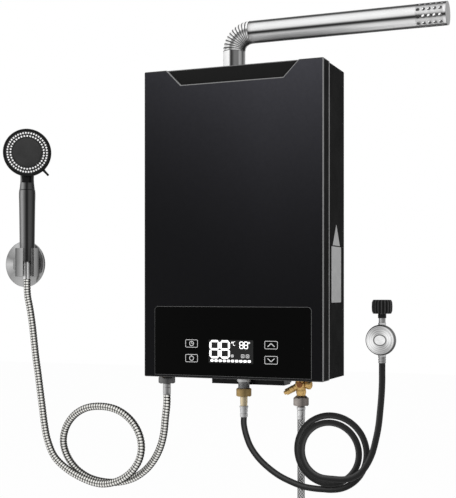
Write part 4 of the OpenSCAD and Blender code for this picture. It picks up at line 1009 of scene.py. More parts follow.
class Shop:
    """The finishes of this object, each made once."""

    # front of the case, with a painted sheen lighter towards the top right
    paint = CasePaintWithPaintedSheen("case_paint_satin", grey(30), 0.42, 0.55, specular=0.05, drift=0.12, drift_scale=4.0,
                      speckle=0.22, grain=1400.0, relief=0.25)
    # painted shade: a darker copy of the case paint, for the sides of the cover and the CAD case nodes
    paint_side_shaded = Finish("case_paint_side_shaded", grey(17), 0.42, 0.55, specular=0.004, drift=0.3, drift_scale=5.0,
                        speckle=0.22, grain=1400.0, relief=0.25)
    # painted highlights: lighter copies of the case paint, for the lit edges and, dimmer, the other bevels
    paint_edge_highlight = Finish("case_paint_edge_highlight", grey(122), 0.3, 0.4, specular=0.1, drift=0.2, drift_scale=10.0)
    paint_rim_sheen = Finish("case_paint_rim_sheen", grey(52), 0.34, 0.45, specular=0.08, drift=0.2, drift_scale=10.0)
    # painted shade: a darker copy of the case paint for the floor of the recess
    paint_deep_shaded = Finish("case_paint_recess_shaded", grey(24), 0.4, 0.55, specular=0.05, drift=0.15, speckle=0.2, relief=0.2)
    glass = Finish("control_glass_black", grey(4), 0.04, 0.1, specular=0.03, drift=0.15, drift_scale=3.0, speckle=0.0,
                   grain=60.0, relief=0.004)
    # ground edge of the glass: lighter grey, partly its own ground finish and partly a painted highlight where it
    # catches light
    glass_edge_highlight = Finish("control_glass_edge_highlight", grey(96), 0.2, 0.3, specular=0.1, drift=0.35, drift_scale=5.0,
                        relief=0.02)
    screen = Finish("display_screen", grey(40), 0.15, 0.22, specular=0.05, drift=0.2, drift_scale=40.0, relief=0.02)
    ink = Finish("display_ink", grey(250), 0.4, 0.5, drift=0.04, relief=0.0, glow=0.8)
    key_ink = Finish("key_ink", grey(196), 0.4, 0.5, drift=0.1, drift_scale=30.0, relief=0.02, glow=0.25)
    strip = Finish("side_strip", grey(166), 0.45, 0.6, specular=0.3, drift=0.14, drift_scale=20.0, relief=0.06)
    black = Finish("moulded_black", grey(22), 0.32, 0.45, specular=0.12, drift=0.3, speckle=0.2, grain=700.0,
                   relief=0.15)
    gloss_black = Finish("gloss_black", grey(10), 0.1, 0.18, specular=0.12, drift=0.25, relief=0.03)
    rim_black = Finish("head_rim_black", grey(22), 0.22, 0.32, specular=0.08, drift=0.25, relief=0.05)
    face_grey = Finish("spray_face_grey", grey(52), 0.4, 0.55, specular=0.12, drift=0.6, drift_scale=45.0, speckle=0.5,
                       grain=1600.0, relief=0.3)
    # painted sheen and shade: a highlight band along the hose and darker sides, painted into the rubber's colour
    rubber = PaintedLightRound("hose_rubber_painted_sheen", grey(58), 0.42, 0.58, specular=0.1, drift=0.3, drift_scale=16.0, speckle=0.2,
                         grain=500.0, relief=0.2, painted_light_stops=((0, 0.35), (0.25, 0.3), (0.33, 0.35), (0.4, 1), (0.44, 1.6),
                                                         (0.48, 1), (0.53, 0.45), (0.6, 0.3), (0.68, 0.4),
                                                         (0.75, 0.25), (1, 0.35)))
    nozzle = Finish("nozzle_silicone", grey(253), 0.4, 0.5, drift=0.06, speckle=0.04, relief=0.05)
    seal = Finish("seal_silicone", tint(122, 42, 34), 0.5, 0.6, relief=0.1)
    board = Finish("board_lacquer", tint(31, 92, 55), 0.3, 0.45, drift=0.5, drift_scale=90.0, relief=0.1)
    white = Finish("white_moulding", tint(220, 218, 210), 0.4, 0.55, drift=0.1, relief=0.08)
    grey_part = Finish("grey_moulding", grey(58), 0.35, 0.5, drift=0.25, relief=0.12)
    brass = Finish("turned_brass", tint(214, 178, 116), 0.32, 0.46, 0.72, drift=0.75, drift_scale=60.0, speckle=0.2,
                   grain=420.0, stretch=(1, 1, 6), relief=0.12)
    copper = Finish("bare_copper", tint(190, 118, 66), 0.25, 0.42, 1, drift=0.5, drift_scale=14.0)
    red_cap = Finish("red_cap", tint(160, 104, 58), 0.4, 0.5, specular=0.2, drift=0.5, drift_scale=90.0)
    zinc = Finish("zinc_plate", grey(166), 0.3, 0.5, 1, drift=0.3, drift_scale=30.0, grain=500.0)
    cap = Finish("flue_cap_steel", grey(150), 0.3, 0.42, 0.4, specular=0.04, drift=0.3, drift_scale=40.0, relief=0.05)
    steel = Finish("satin_steel", grey(142), 0.26, 0.4, 1, drift=0.35, drift_scale=45.0, grain=600.0,
                   stretch=(1, 1, 0.15))
    aluminium = Finish("cast_aluminium", grey(196), 0.35, 0.5, 1, drift=0.25, drift_scale=30.0, grain=800.0)


# ---- the studio

@dataclass
class Studio:
    """Camera at the photograph's viewing angle, plain floor and soft light."""

    seen_from: Point = (0.6963, -1.8503, -0.1199)
    turned_by: float = 22.19
    lens: float = 76.69
    rise: float = 0.0833
    floor_z: float = -0.66
    floor_half: float = 5.0
    floor_white: float = 0.97
    soft_light: float = 0.5

    def camera(self) -> None:
        """Place the camera."""
        data = bpy.data.cameras.new("camera")
        data.lens, data.sensor_width, data.shift_y = self.lens, 36, self.rise
        camera = shown("camera", data)
        camera.location = self.seen_from
        camera.rotation_euler = (radians(90), 0, radians(self.turned_by))
        bpy.context.scene.camera = camera

    def lamp(self, name: str, at: Point, towards: Point, size: float, watts: float) -> None:
        """Place a square lamp that looks at a point.

        Args:
            name: Name of the lamp.
            at: Where it hangs.
            towards: The point it looks at.
            size: Length of its side.
            watts: Its strength.
        """
        data = bpy.data.lights.new(name, "AREA")
        data.size, data.energy = size, watts
        lamp = shown(name, data)
        lamp.location = at
        lamp.rotation_euler = (Vector(towards) - Vector(at)).to_track_quat("-Z", "Y").to_euler()
        lamp.visible_glossy = False

    def light(self) -> None:
        """Light the object softly from the upper right, with a white ground for what mirrors and the camera see."""
        world = bpy.data.worlds.new("studio")
        bpy.context.scene.world = world
        world.use_nodes = True
        n = Nodes(world.node_tree)
        seen = n.seen_white()
        ground = next(x for x in world.node_tree.nodes if x.type == "BACKGROUND")
        ground.inputs["Color"].default_value = (1, 1, 1, 1)
        n.feed(ground.inputs["Strength"], n.spread(seen, 0, 1, self.soft_light, 1))
        self.lamp("key_lamp", (1.2, -2.7, 1.7), (0, 0, 0), 1.6, 46)
        self.lamp("fill_lamp", (-2.3, -1.8, 0.6), (0, 0, -0.1), 1.8, 12)
        self.lamp("top_lamp", (0.2, -0.6, 2.3), (0, 0, 0), 1.4, 14)

    def floor(self) -> None:
        """Lay the plain pale floor."""
        bm = bmesh.new()
        bmesh.ops.create_grid(bm, x_segments=1, y_segments=1, size=self.floor_half)
        bmesh.ops.translate(bm, vec=(0, 0, self.floor_z), verts=bm.verts[:])
        mesh = bpy.data.meshes.new("floor")
        bm.to_mesh(mesh)
        bm.free()
        floor = shown("floor", mesh)
        material = bpy.data.materials.new("pale_floor")
        material.use_nodes = True
        n = Nodes(material.node_tree)
        output = next(x for x in material.node_tree.nodes if x.type == "OUTPUT_MATERIAL")
        shader = next(x for x in material.node_tree.nodes if x.type == "BSDF_PRINCIPLED")
        shader.inputs["Base Color"].default_value = (0.86, 0.86, 0.86, 1)
        shader.inputs["Roughness"].default_value = 0.9
        shader.inputs["Specular IOR Level"].default_value = 0.1
        seen = n.seen_white()
        white = n.put("Emission", in_Color=(1, 1, 1, 1))
        mixed = n.put("MixShader")
        for socket, value in zip(mixed.inputs, (n.times(seen, self.floor_white), shader.outputs[0],
                                                white.outputs[0])):
            n.feed(socket, value)
        n.feed(output.inputs["Surface"], mixed.outputs[0])
        mesh.materials.append(material)

    def build(self) -> None:
        """Build the whole studio."""
        self.camera()
        self.light()
        self.floor()


# ---- hoses

@dataclass
class Hoses:
    """The three hoses: chrome shower hose, black gas hose with two loops, braided supply hose."""

    shower_d: float = 14.0
    rib: float = 5.3
    groove: float = 0.9
    gas_d: float = 11.0
    supply_d: float = 13.0
    coil_centre: tuple[float, float] = (170, -396)
    coil_r: float = 67.0
    coil_shrink: float = 11.4
    shower: Piece = field(init=False)
    gas: Piece = field(init=False)
    supply: Piece = field(init=False)

    def shower_route(self) -> Route:
        """From the hot outlet through one loop up to the hand shower."""
        return Route([(-150, -75, -312), (-150, -75, -330), (-154, -73, -356), (-159, -69, -384), (-168, -64, -410),
                      (-183, -58, -435), (-204, -53, -458), (-231, -50, -476), (-262, -49, -486), (-294, -50, -488),
                      (-327, -51, -482), (-355, -53, -466), (-374, -55, -442), (-381, -58, -414), (-374, -60, -386),
                      (-355, -63, -362), (-327, -65, -346), (-293, -66, -341), (-259, -67, -346), (-231, -68, -362),
                      (-212, -69, -386), (-205, -70, -414), (-212, -70, -442), (-231, -71, -466), (-259, -71, -482),
                      (-293, -71, -488), (-330, -71, -480), (-365, -70, -465), (-394, -69, -443), (-411, -67, -412),
                      (-419, -66, -380), (-425, -64, -348), (-431, -62, -316), (-437, -60, -284), (-444, -57, -252),
                      (-450, -54, -220), (-456, -51, -188), (-463, -48, -158), (-470, -46, -132), (-472, -45, -113),
                      (-472, -45, -97)])

    def gas_route(self) -> Route:
        """From the gas inlet through two loops up to the regulator.

        Returns:
            The route.
        """
        lead = [(3, -75, -347), (3, -75, -361), (8, -76, -380), (17, -77, -400), (32, -79, -418), (51, -82, -433),
                (74, -86, -446), (99, -90, -455), (122, -92, -461), (143, -92, -463), (158, -92, -463)]
        loops = []
        for i in range(49):
            turn = i / 24
            r = self.coil_r - self.coil_shrink * turn
            late = max(0, 2 * (turn - 2) + 1)
            loops.append((self.coil_centre[0] + r * sin(tau * turn), -92 - 8 * turn - 5 * late ** 2,
                          self.coil_centre[1] - r * cos(tau * turn)))
        tail = [(182, -114, -440.2), (194, -115, -440.2), (206, -115.5, -438.5), (218, -116, -434),
                (230, -116, -425.5), (240, -115, -412), (248, -112, -394), (253, -108, -373), (257, -104, -349),
                (259, -101, -325), (261, -100, -300), (262, -99, -276), (262, -98.5, -256), (262, -98.5, -242)]
        return Route(lead + loops + tail, finer=4)

    def supply_route(self) -> Route:
        """Straight down from the cold inlet."""
        return Route([(111, -75, -346 - 30 * i) for i in range(9)])

    def build(self) -> None:
        """Make the three hoses."""
        route, r = self.shower_route(), self.shower_d / 2
        ribs = int(route.length / self.rib)
        pitch = route.length / ribs
        profile = [(0, 0), (r - self.groove, 0)]
        for i in range(ribs):
            profile += [(r, (i + 0.27) * pitch), (r, (i + 0.73) * pitch), (r - self.groove, (i + 1) * pitch)]
        profile.append((0, route.length))
        # painted reflection: light and dark bands round the chrome hose, and dark rings painted as shade in its grooves
        chrome = PaintedLightRound("hose_chrome_painted_reflection", tint(250, 249, 244), 0.16, 0.3, 1, drift=0.25, drift_scale=20.0,
                             speckle=0.0, relief=0.02, rings=pitch, ring_level=0.07, painted_light_stops=(
                                 (0, 0.4), (0.2, 0.5), (0.25, 0.1), (0.31, 0.08), (0.355, 0.5), (0.41, 0.95),
                                 (0.455, 1), (0.48, 0.5), (0.495, 0.25), (0.51, 0.25), (0.525, 0.5), (0.545, 1),
                                 (0.59, 0.95), (0.645, 0.5), (0.69, 0.08), (0.75, 0.1), (0.8, 0.5), (1, 0.4)))
        self.shower = route.tube(profile, 14).done(
            "shower_hose_segments", Slot.CHROME, [chrome], ["shower_hose"], 50, None)
        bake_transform(self.shower)

        route = self.gas_route()
        self.gas = route.rod(self.gas_d / 2, int(route.length / 5), 24).done(
            "gas_hose_rubber", Slot.BLACK_RUBBER, [Shop.rubber], ["gas_hose_lead", "gas_hose_coil", "gas_hose_tail"])
        route = self.supply_route()
        braid = BraidedWire("supply_braid", grey(196), 0.28, 0.42, 1, drift=0.25, drift_scale=30.0, relief=0.9)
        self.supply = route.rod(self.supply_d / 2, int(route.length / 4), 32).done(
            "supply_hose_braid", Slot.STEEL, [braid], ["water_hose"])

    def declare(self, shower_nut: Piece, regulator: Sequence[Piece], end_nut: Piece) -> None:
        """Work out the smooth line of each hose in metres, and keep nothing.

        Args:
            shower_nut: Nut between the shower hose and the hand shower; not used.
            regulator: Pieces on the far end of the gas hose; not used.
            end_nut: Piece on the foot of the supply hose; not used.
        """
        for piece, route, size, far_end, stiffness, on_it in (
                (self.shower, self.shower_route(), self.shower_d, "fitting", "medium", [shower_nut]),
                (self.gas, self.gas_route(), self.gas_d, "fitting", "stiff", regulator),
                (self.supply, self.supply_route(), self.supply_d, "fitting", "stiff", [end_nut])):
            route.metres()


# ---- case and control glass

# Face numbers of the cover's finishes: painted shade in the recess, dimmer painted highlight on the bevels, brighter
# painted highlight on lit edges, painted shade on the sides
SHADED_DEEP, SHEEN_RIM, HIGHLIT_EDGE, SHADED_SIDE = 1, 2, 3, 4

@dataclass
class CaseFront:
    """Folded front cover with the trapezoid recess at its top."""

    half_w: float = 169.0
    half_h: float = 275.0
    front_y: float = -130.0
    seam_y: float = -95.0
    recess_top: float = 124.0
    recess_foot: float = 96.5
    recess_h: float = 28.0
    deep: float = 4.0
    sheet: float = 1.2
    bevel: float = 2.0
    hem: float = 4.5

    def build(self) -> None:
        """Make the cover with its edges and its sheet thickness, with painted shade on its sides and in its recess and
        painted highlights on its edges.
        """
        bm = bmesh.new()
        w, h, y = self.half_w, self.half_h, self.front_y
        back = y + self.deep
        foot_z = h - self.recess_h
        outline = [(-w, -h), (w, -h), (w, h), (self.recess_top, h), (self.recess_foot, foot_z),
                   (-self.recess_foot, foot_z), (-self.recess_top, h), (-w, h)]
        front = bm.faces.new([bm.verts.new((x, y, z)) for x, z in outline])
        grown = bmesh.ops.extrude_face_region(bm, geom=[front], use_keep_orig=True)
        deep_face = next(g for g in grown["geom"] if isinstance(g, bmesh.types.BMFace))
        bmesh.ops.translate(bm, vec=(0, self.deep, 0), verts=deep_face.verts[:])
        bmesh.ops.delete(bm, geom=[deep_face], context="FACES_ONLY")
        at = {(round(v.co.x, 2), round(v.co.z, 2)): v for v in bm.verts if abs(v.co.y - back) < 1e-6}
        bm.faces.new([at[(round(x, 2), round(z, 2))] for x, z in outline[3:7]])
        rim = [at[(round(x, 2), round(z, 2))] for x, z in (outline[:4] + outline[6:])]
        edges = [bm.edges.get(pair) or bm.edges.new(pair) for pair in zip(rim, rim[1:] + rim[:1])]
        grown = bmesh.ops.extrude_edge_only(bm, edges=edges)
        draw_out(bm, grown, self.seam_y - back)
        slice_at(bm, (0, self.seam_y - self.hem, 0), (0, 1, 0))
        face_out(bm)
        # painted shade: the floor of the recess and the sides take the darker copies of the paint
        for face in bm.faces:
            middle = face.calc_center_median()
            face.material_index = SHADED_DEEP if abs(middle.y - back) < 0.01 else (SHADED_SIDE if abs(face.normal.x) > 0.9 else 0)
            # painted highlight: the band of the side next to the seam takes the lit edge's colour, as a light line
            # along the fold
            if face.material_index == SHADED_SIDE and middle.y > self.seam_y - self.hem:
                face.material_index = HIGHLIT_EDGE
        if max(bm.faces, key=lambda f: f.calc_area()).normal.y > 0:
            bmesh.ops.reverse_faces(bm, faces=bm.faces[:])
        # painted highlight: every convex bevel first takes the dimmer lit colour
        cut_edges(bm, [e for e in bm.edges if is_sharp(e, 30) and e.is_convex], self.bevel, 3, SHEEN_RIM)
        # painted highlight: bevels down the right edge and round the recess take the brighter lit colour
        for face in bm.faces:
            if face.material_index == SHEEN_RIM:
                middle = face.calc_center_median()
                right = middle.x > w - 4 and middle.y < y + 3.2
                recess = abs(middle.x) < self.recess_top + 1.5 and foot_z - 4 < middle.z < h - 0.5
                face.material_index = HIGHLIT_EDGE if right or recess else SHEEN_RIM
        piece = Workpiece().add(bm).done(
            "case_front_cover", Slot.CASE_PAINT, [Shop.paint, Shop.paint_deep_shaded, Shop.paint_rim_sheen, Shop.paint_edge_highlight,
                                                  Shop.paint_side_shaded], ["front_cover"], 30)
        wall = piece.modifiers.new("sheet", "SOLIDIFY")
        wall.thickness, wall.offset = self.sheet * MM, -1.0


@dataclass
class ControlGlass:
    """Black glass with its display, four touch keys and their signs."""

    half_w: float = 148.0
    foot: float = -271.0
    top: float = -148.0
    front_y: float = -130.6
    thick: float = 3.0
    corner: float = 7.0
    ground: float = 0.75
    line_thick: float = 0.12
    line_out: float = 0.06
    screen_w: float = 84.0
    screen_h: float = 41.0
    screen_z: float = -227.0
    key_x: float = 75.0
    key_z: tuple[float, float] = (-214, -240)

    def slab(self) -> None:
        """Make the glass with its ground edge, coloured light grey: partly the ground glass itself, partly a painted
        highlight where the edge catches light.
        """
        r, w = self.corner, self.half_w
        outline = [(-w, self.foot), (w, self.foot), *arc(w - r, self.top - r, r, 0, 90, 8),
                   *arc(r - w, self.top - r, r, 90, 180, 8)]
        bm = plate(outline, self.thick)
        face_out(bm)
        rim = [e for e in bm.edges if all(abs(v.co.y + self.thick) < SAME_SPOT for v in e.verts)]
        cut_edges(bm, rim, self.ground, 2, 1)
        Workpiece().add(bm, moved(0, self.front_y + self.thick, 0)).done(
            "control_glass_slab", Slot.BLACK_GLASS, [Shop.glass, Shop.glass_edge_highlight], ["control_glass"])

    def figure(self, work: Workpiece, x: float, z: float, h: float, lines: str = "abcdefg") -> None:
        """Add a seven-line figure to a piece.

        Args:
            work: Piece to add to.
            x: Left side.
            z: Foot.
            h: Height.
            lines: Lit lines, a at the top, then clockwise, g across the middle.
        """
        w, t, gap = h * 0.55, h * 0.13, h * 0.02
        spots = {"a": (0, h, True), "b": (w, h, False), "c": (w, h / 2, False), "d": (0, 0, True),
                 "e": (0, h / 2, False), "f": (0, h, False), "g": (0, h / 2, True)}
        for line in lines:
            sx, sz, flat = spots[line]
            length, half = w if flat else h / 2, t / 2
            shape = [(gap, 0), (gap + half, half), (length - gap - half, half), (length - gap, 0),
                     (length - gap - half, -half), (gap + half, -half)]
            outline = [(x + sx + a, z + sz + b) if flat else (x + sx + b, z + sz - a) for a, b in shape]
            work.add(plate(outline, self.line_thick), moved(0, self.front_y - self.line_out, 0))

    def bar(self, work: Workpiece, x: float, z: float, w: float, h: float, turn: float = 0) -> None:
        """Add a flat bar about its middle to a piece."""
        work.add(plate(round_box(w, h, min(w, h) * 0.3, 2), self.line_thick),
                 moved(x, self.front_y - self.line_out, z) @ spun(turn, "Y"))

    def loop(self, work: Workpiece, x: float, z: float, w: float, h: float, r: float, line: float) -> None:
        """Add a closed line round a box with round corners to a piece."""
        work.add(frame_line(round_box(w, h, r, 5), round_box(w - 2 * line, h - 2 * line, max(r - line, 0.1), 5),
                            self.line_thick), moved(x, self.front_y - self.line_out, z))

    def display(self) -> None:
        """Make the lit display."""
        Workpiece().add(plate(round_box(self.screen_w, self.screen_h, 0.8, 3), 0.1),
                        moved(0, self.front_y + 0.04, self.screen_z)).done(
            "display_screen", Slot.DARK_PLASTIC, [Shop.screen])
        work = Workpiece()
        left, foot = -self.screen_w / 2 + 3.5, self.screen_z - 10.5
        for i in range(2):
            self.figure(work, left + i * 19.5, foot, 28.5)
        self.loop(work, left + 41, foot + 26.6, 3, 3, 1.4, 0.8)
        self.figure(work, left + 43.4, foot + 21.5, 6.5, "adef")
        for i in range(2):
            self.figure(work, left + 55.5 + i * 8.4, foot + 16.5, 11.5)
        self.loop(work, left + 72.8, foot + 26.6, 3, 3, 1.4, 0.8)
        for i in range(10):
            self.bar(work, -self.screen_w / 2 + 6.5 + i * 7.8, self.screen_z - 16.2, 6, 4.2)
        work.done("display_figures", Slot.WHITE_PLASTIC, [Shop.ink])
        work = Workpiece()
        for x, size in ((3, 5), (22.5, 6.4), (31.5, 6.4)):
            self.loop(work, x, self.screen_z - 7.4, size, size, 1.6, 1.1)
            self.bar(work, x, self.screen_z - 7.4, 2, 2)
        work.done("display_signs", Slot.WHITE_PLASTIC, [Shop.key_ink])

    def keys(self) -> None:
        """Make the outlines and signs of the touch keys."""
        work = Workpiece()
        for side in (-1, 1):
            for z in self.key_z:
                self.loop(work, side * self.key_x, z, 24, 14, 2.2, 0.85)
        for z, hands in ((self.key_z[0], True), (self.key_z[1], False)):
            self.loop(work, -self.key_x, z, 9, 9, 4.45, 1.1)
            self.bar(work, -self.key_x, z + (1.2 if hands else 4), 1.1, 3.2 if hands else 3.8)
            if hands:
                self.bar(work, -self.key_x + 1, z, 2.8, 1)
        for z, way in ((self.key_z[0], 1), (self.key_z[1], -1)):
            for side in (-1, 1):
                self.bar(work, self.key_x + side * 3.1, z, 8.8, 1.3, way * side * 42)
        work.done("key_signs", Slot.WHITE_PLASTIC, [Shop.key_ink])

    def build(self) -> None:
        """Make the glass, the display and the keys."""
        self.slab()
        self.display()
        self.keys()


@dataclass
class SideStrip:
    """Blank pointer and strip on the right side of the case."""

    x: float = 167.42
    y: float = -49.0
    tip: float = -4.0
    head_h: float = 37.0
    head_w: float = 44.0
    strip_w: float = 64.0
    foot: float = -141.0

    def build(self) -> None:
        """Make the pointer and the strip below it."""
        place = moved(self.x, self.y, 0) @ spun(90, "Z")
        neck = self.tip - self.head_h
        Workpiece().add(plate([(0, self.tip), (-self.head_w / 2, neck), (self.head_w / 2, neck)], 0.22, 0.08, 1),
                        place).add(
            plate([(x, z + (neck - 2 + self.foot) / 2) for x, z in round_box(self.strip_w * 0.92, neck - 2 - self.foot,
                                                                             1.5, 3)], 0.22, 0.08, 1), place).done(
            "side_pointer_strip", Slot.GREY_PLASTIC, [Shop.strip], ["side_arrow"])


# ---- flue

@dataclass
class Flue:
    """Polished flue: collar and sleeve on the case, ribbed elbow, straight pipe with its holes and its seam; the end
    cap stays a CAD node.
    """

    x: float = -19.5
    y: float = -65.0
    r: float = 20.0
    wall: float = 0.8
    foot: float = 277.2
    elbow_foot: float = 312.0
    elbow_r: float = 33.0
    end_x: float = 365.5
    ribs: int = 11
    rib_deep: float = 2.2
    columns: int = 5
    round_holes: int = 10
    hole_d: float = 6.6
    hole_pitch: float = 9.4
    end_band: float = 9.0
    bead: float = 1.5
    weld: float = 0.02
    # painted reflections: light and dark levels round the pipe, round the upright parts and round the ribbed elbow,
    # painted into the steel's colour
    bands: Outline = ((0, 0.5), (0.12, 0.8), (0.25, 0.5), (0.29, 0.06), (0.345, 0.02), (0.38, 0.04), (0.396, 0.38),
                      (0.414, 0.66), (0.433, 0.78), (0.467, 0.86), (0.497, 0.8), (0.509, 0.72), (0.522, 0.4),
                      (0.533, 0.05), (0.553, 0.02), (0.566, 0.26), (0.583, 0.68), (0.6, 0.84), (0.615, 0.9),
                      (0.632, 0.92), (0.666, 0.88), (0.682, 0.55), (0.698, 0.04), (0.75, 0.01), (0.78, 0.15),
                      (0.85, 0.5), (1, 0.5))
    upright_bands: Outline = (
        (0, 0.4), (0.3, 0.45), (0.335, 0.7), (0.38, 1), (0.478, 1), (0.492, 0.5), (0.5, 0.12), (0.512, 0.04),
        (0.528, 0.05), (0.545, 0.12), (0.562, 0.17), (0.615, 0.19), (0.628, 0.35), (0.636, 0.46), (0.667, 0.42),
        (0.683, 0.12), (0.7, 0.14), (0.732, 0.28), (0.77, 0.5), (0.85, 0.6), (1, 0.4))
    rib_bands: Outline = ((0, 0.6), (0.25, 0.45), (0.33, 0.85), (0.46, 1), (0.48, 0.5), (0.5, 0.35), (0.515, 0.5),
                          (0.54, 0.85), (0.63, 0.9), (0.68, 0.6), (0.72, 0.25), (0.78, 0.3), (0.85, 0.5), (1, 0.6))

    def metal(self, name: str, upright: bool = False, rings: float = 0) -> Finish:
        """Polished steel with painted reflections as light and dark bands along the pipe, and painted shade in the
        grooves where it is ribbed.
        """
        painted_light_stops = self.rib_bands if rings else (self.upright_bands if upright else self.bands)
        return PaintedLightRound(name, grey(250), 0.3, 0.42, 0.45, specular=0.04, drift=0.16, drift_scale=14.0, speckle=0.03,
                           relief=0.015, painted_light_stops=painted_light_stops, rings=rings, ring_level=0.08)

    def pierced(self) -> Finish:
        """The pipe's painted reflection bands, a fifth darker round the punched holes."""
        dark = [(place, 0.8 * level + 0.02) for place, level in self.bands]
        return PaintedLightRound("flue_pierced_metal", grey(244), 0.3, 0.42, 0.45, specular=0.04, drift=0.5,
                           drift_scale=90.0, speckle=0.1, relief=0.1, painted_light_stops=dark)

    def pipe_sheet(self) -> Shape:
        """Flat sheet of the pipe with its holes, wrapped round Z, its foot at 0 and its length along Z.

        Returns:
            The sheet, bent and thickened.
        """
        length = self.end_x - self.x - self.elbow_r
        around = self.round_holes
        pitch_z, pitch_u = self.hole_pitch, tau * self.r / around
        holes_from = length - self.end_band - pitch_z * (self.columns - 0.5)
        holes_to = holes_from + pitch_z * self.columns
        bm = bmesh.new()
        for low, high, cuts in ((0, holes_from, 24), (holes_to, length, 1)):
            made = bmesh.ops.create_grid(bm, x_segments=around * 4, y_segments=cuts, size=0.5)["verts"]
            bmesh.ops.scale(bm, vec=(pitch_u * around, high - low, 1), verts=made)
            bmesh.ops.translate(bm, vec=(pitch_u * around / 2, (low + high) / 2, 0), verts=made)
        edge_spots = ((1, 0), (1, 1), (0.5, 1), (0, 1), (-0.5, 1), (-1, 1), (-1, 0), (-1, -1), (-0.5, -1), (0, -1),
                      (0.5, -1), (1, -1))
        for i in range(around):
            for j in range(self.columns):
                middle = Vector(((i + 0.5) * pitch_u, holes_from + (j + 0.5) * pitch_z, 0))
                square = [Vector((sx * pitch_u / 2, sz * pitch_z / 2, 0)) for sx, sz in edge_spots]
                outer = [bm.verts.new(middle + spot) for spot in square]
                hole = [bm.verts.new(middle + spot.normalized() * self.hole_d / 2) for spot in square]
                for a, b in zip(range(-1, len(square)), range(len(square))):
                    bm.faces.new((outer[a], outer[b], hole[b], hole[a]))
        bmesh.ops.remove_doubles(bm, verts=bm.verts[:], dist=self.weld)
        for face in bm.faces:
            face.material_index = int(holes_from < face.calc_center_median().y < holes_to)
        for v in bm.verts:
            angle = v.co.x / self.r
            bead = self.bead * exp(-((v.co.y - 2) / 1.1) ** 2)
            v.co = Vector(((self.r + bead) * cos(angle), (self.r + bead) * sin(angle), v.co.y))
        bmesh.ops.remove_doubles(bm, verts=bm.verts[:], dist=self.weld)
        return bm

    def build(self) -> None:
        """Make the flue."""
        r, w = self.r, self.wall
        collar = [(r - w, 272), (r - w, 276.9), (27.4, 276.9), (28, 276.5), (28, 274.9), (r + 3, 274.9), (r + 3, 272)]
        Workpiece().turn(collar, moved(self.x, self.y, 0), steps=64).done(
            "flue_collar_ring", Slot.POLISHED, [self.metal("flue_collar_metal", True)], ["flue_collar"])
        sleeve = Route([(self.x, self.y, self.foot + (self.elbow_foot - self.foot) * k / 4) for k in range(5)])
        h = sleeve.length
        bead = r + self.bead
        profile = rounded([(r - w, 0), (bead, 0), (bead, 3), (r, 3.6), (r, h)], 0.7) + [(r - w, h)]
        sleeve.tube(profile, 48, True).done(
            "flue_sleeve_skin", Slot.POLISHED, [self.metal("flue_sleeve_metal", True)], ["flue_sleeve"], 60, Body.FLUE)
        line = Route([(self.x + self.elbow_r * (1 - cos(a)), self.y, self.elbow_foot + self.elbow_r * sin(a)) for a in (
            radians(90 * k / 12) for k in range(13))], finer=4)
        pitch = line.length / self.ribs
        outer = [(r + 0.3 - self.rib_deep * (0.5 - 0.5 * cos(tau * k / 8)) ** 1.6, k * pitch / 8)
                 for k in range(self.ribs * 8 + 1)]
        outer[0], outer[-1] = (r, 0), (r, line.length)
        profile = outer + [(a - w, z) for a, z in reversed(outer)]
        line.tube(profile, 48, True).done(
            "flue_elbow_ribs", Slot.POLISHED, [self.metal("flue_elbow_metal", True, pitch)], ["flue_elbow"], 60,
            Body.FLUE)
        straight = Route([(self.x + self.elbow_r + (self.end_x - self.x - self.elbow_r) * k / 12, self.y,
                           self.elbow_foot + self.elbow_r) for k in range(13)])
        bm = self.pipe_sheet()
        face_out(bm)
        if sum(f.normal.xy.dot(f.calc_center_median().xy) for f in bm.faces) < 0:
            bmesh.ops.reverse_faces(bm, faces=bm.faces[:])
        pipe = Workpiece(straight.bend(bm)).done(
            "flue_pipe_sheet", Slot.POLISHED, [self.metal("flue_pipe_metal"), self.pierced()], ["flue_pipe"], 50,
            Body.FLUE)
        wall = pipe.modifiers.new("sheet", "SOLIDIFY")
        wall.thickness, wall.offset = w * MM, -1.0
        top = self.elbow_foot + self.elbow_r + r
        Workpiece().add(block((20, -1.2, top - 0.15), (self.end_x - 66, 1.2, top + 0.35), 0.2, 1),
                        moved(0, self.y, 0)).done("flue_pipe_seam", Slot.POLISHED, [Shop.steel], body=Body.FLUE)


# ---- hand shower and its holder

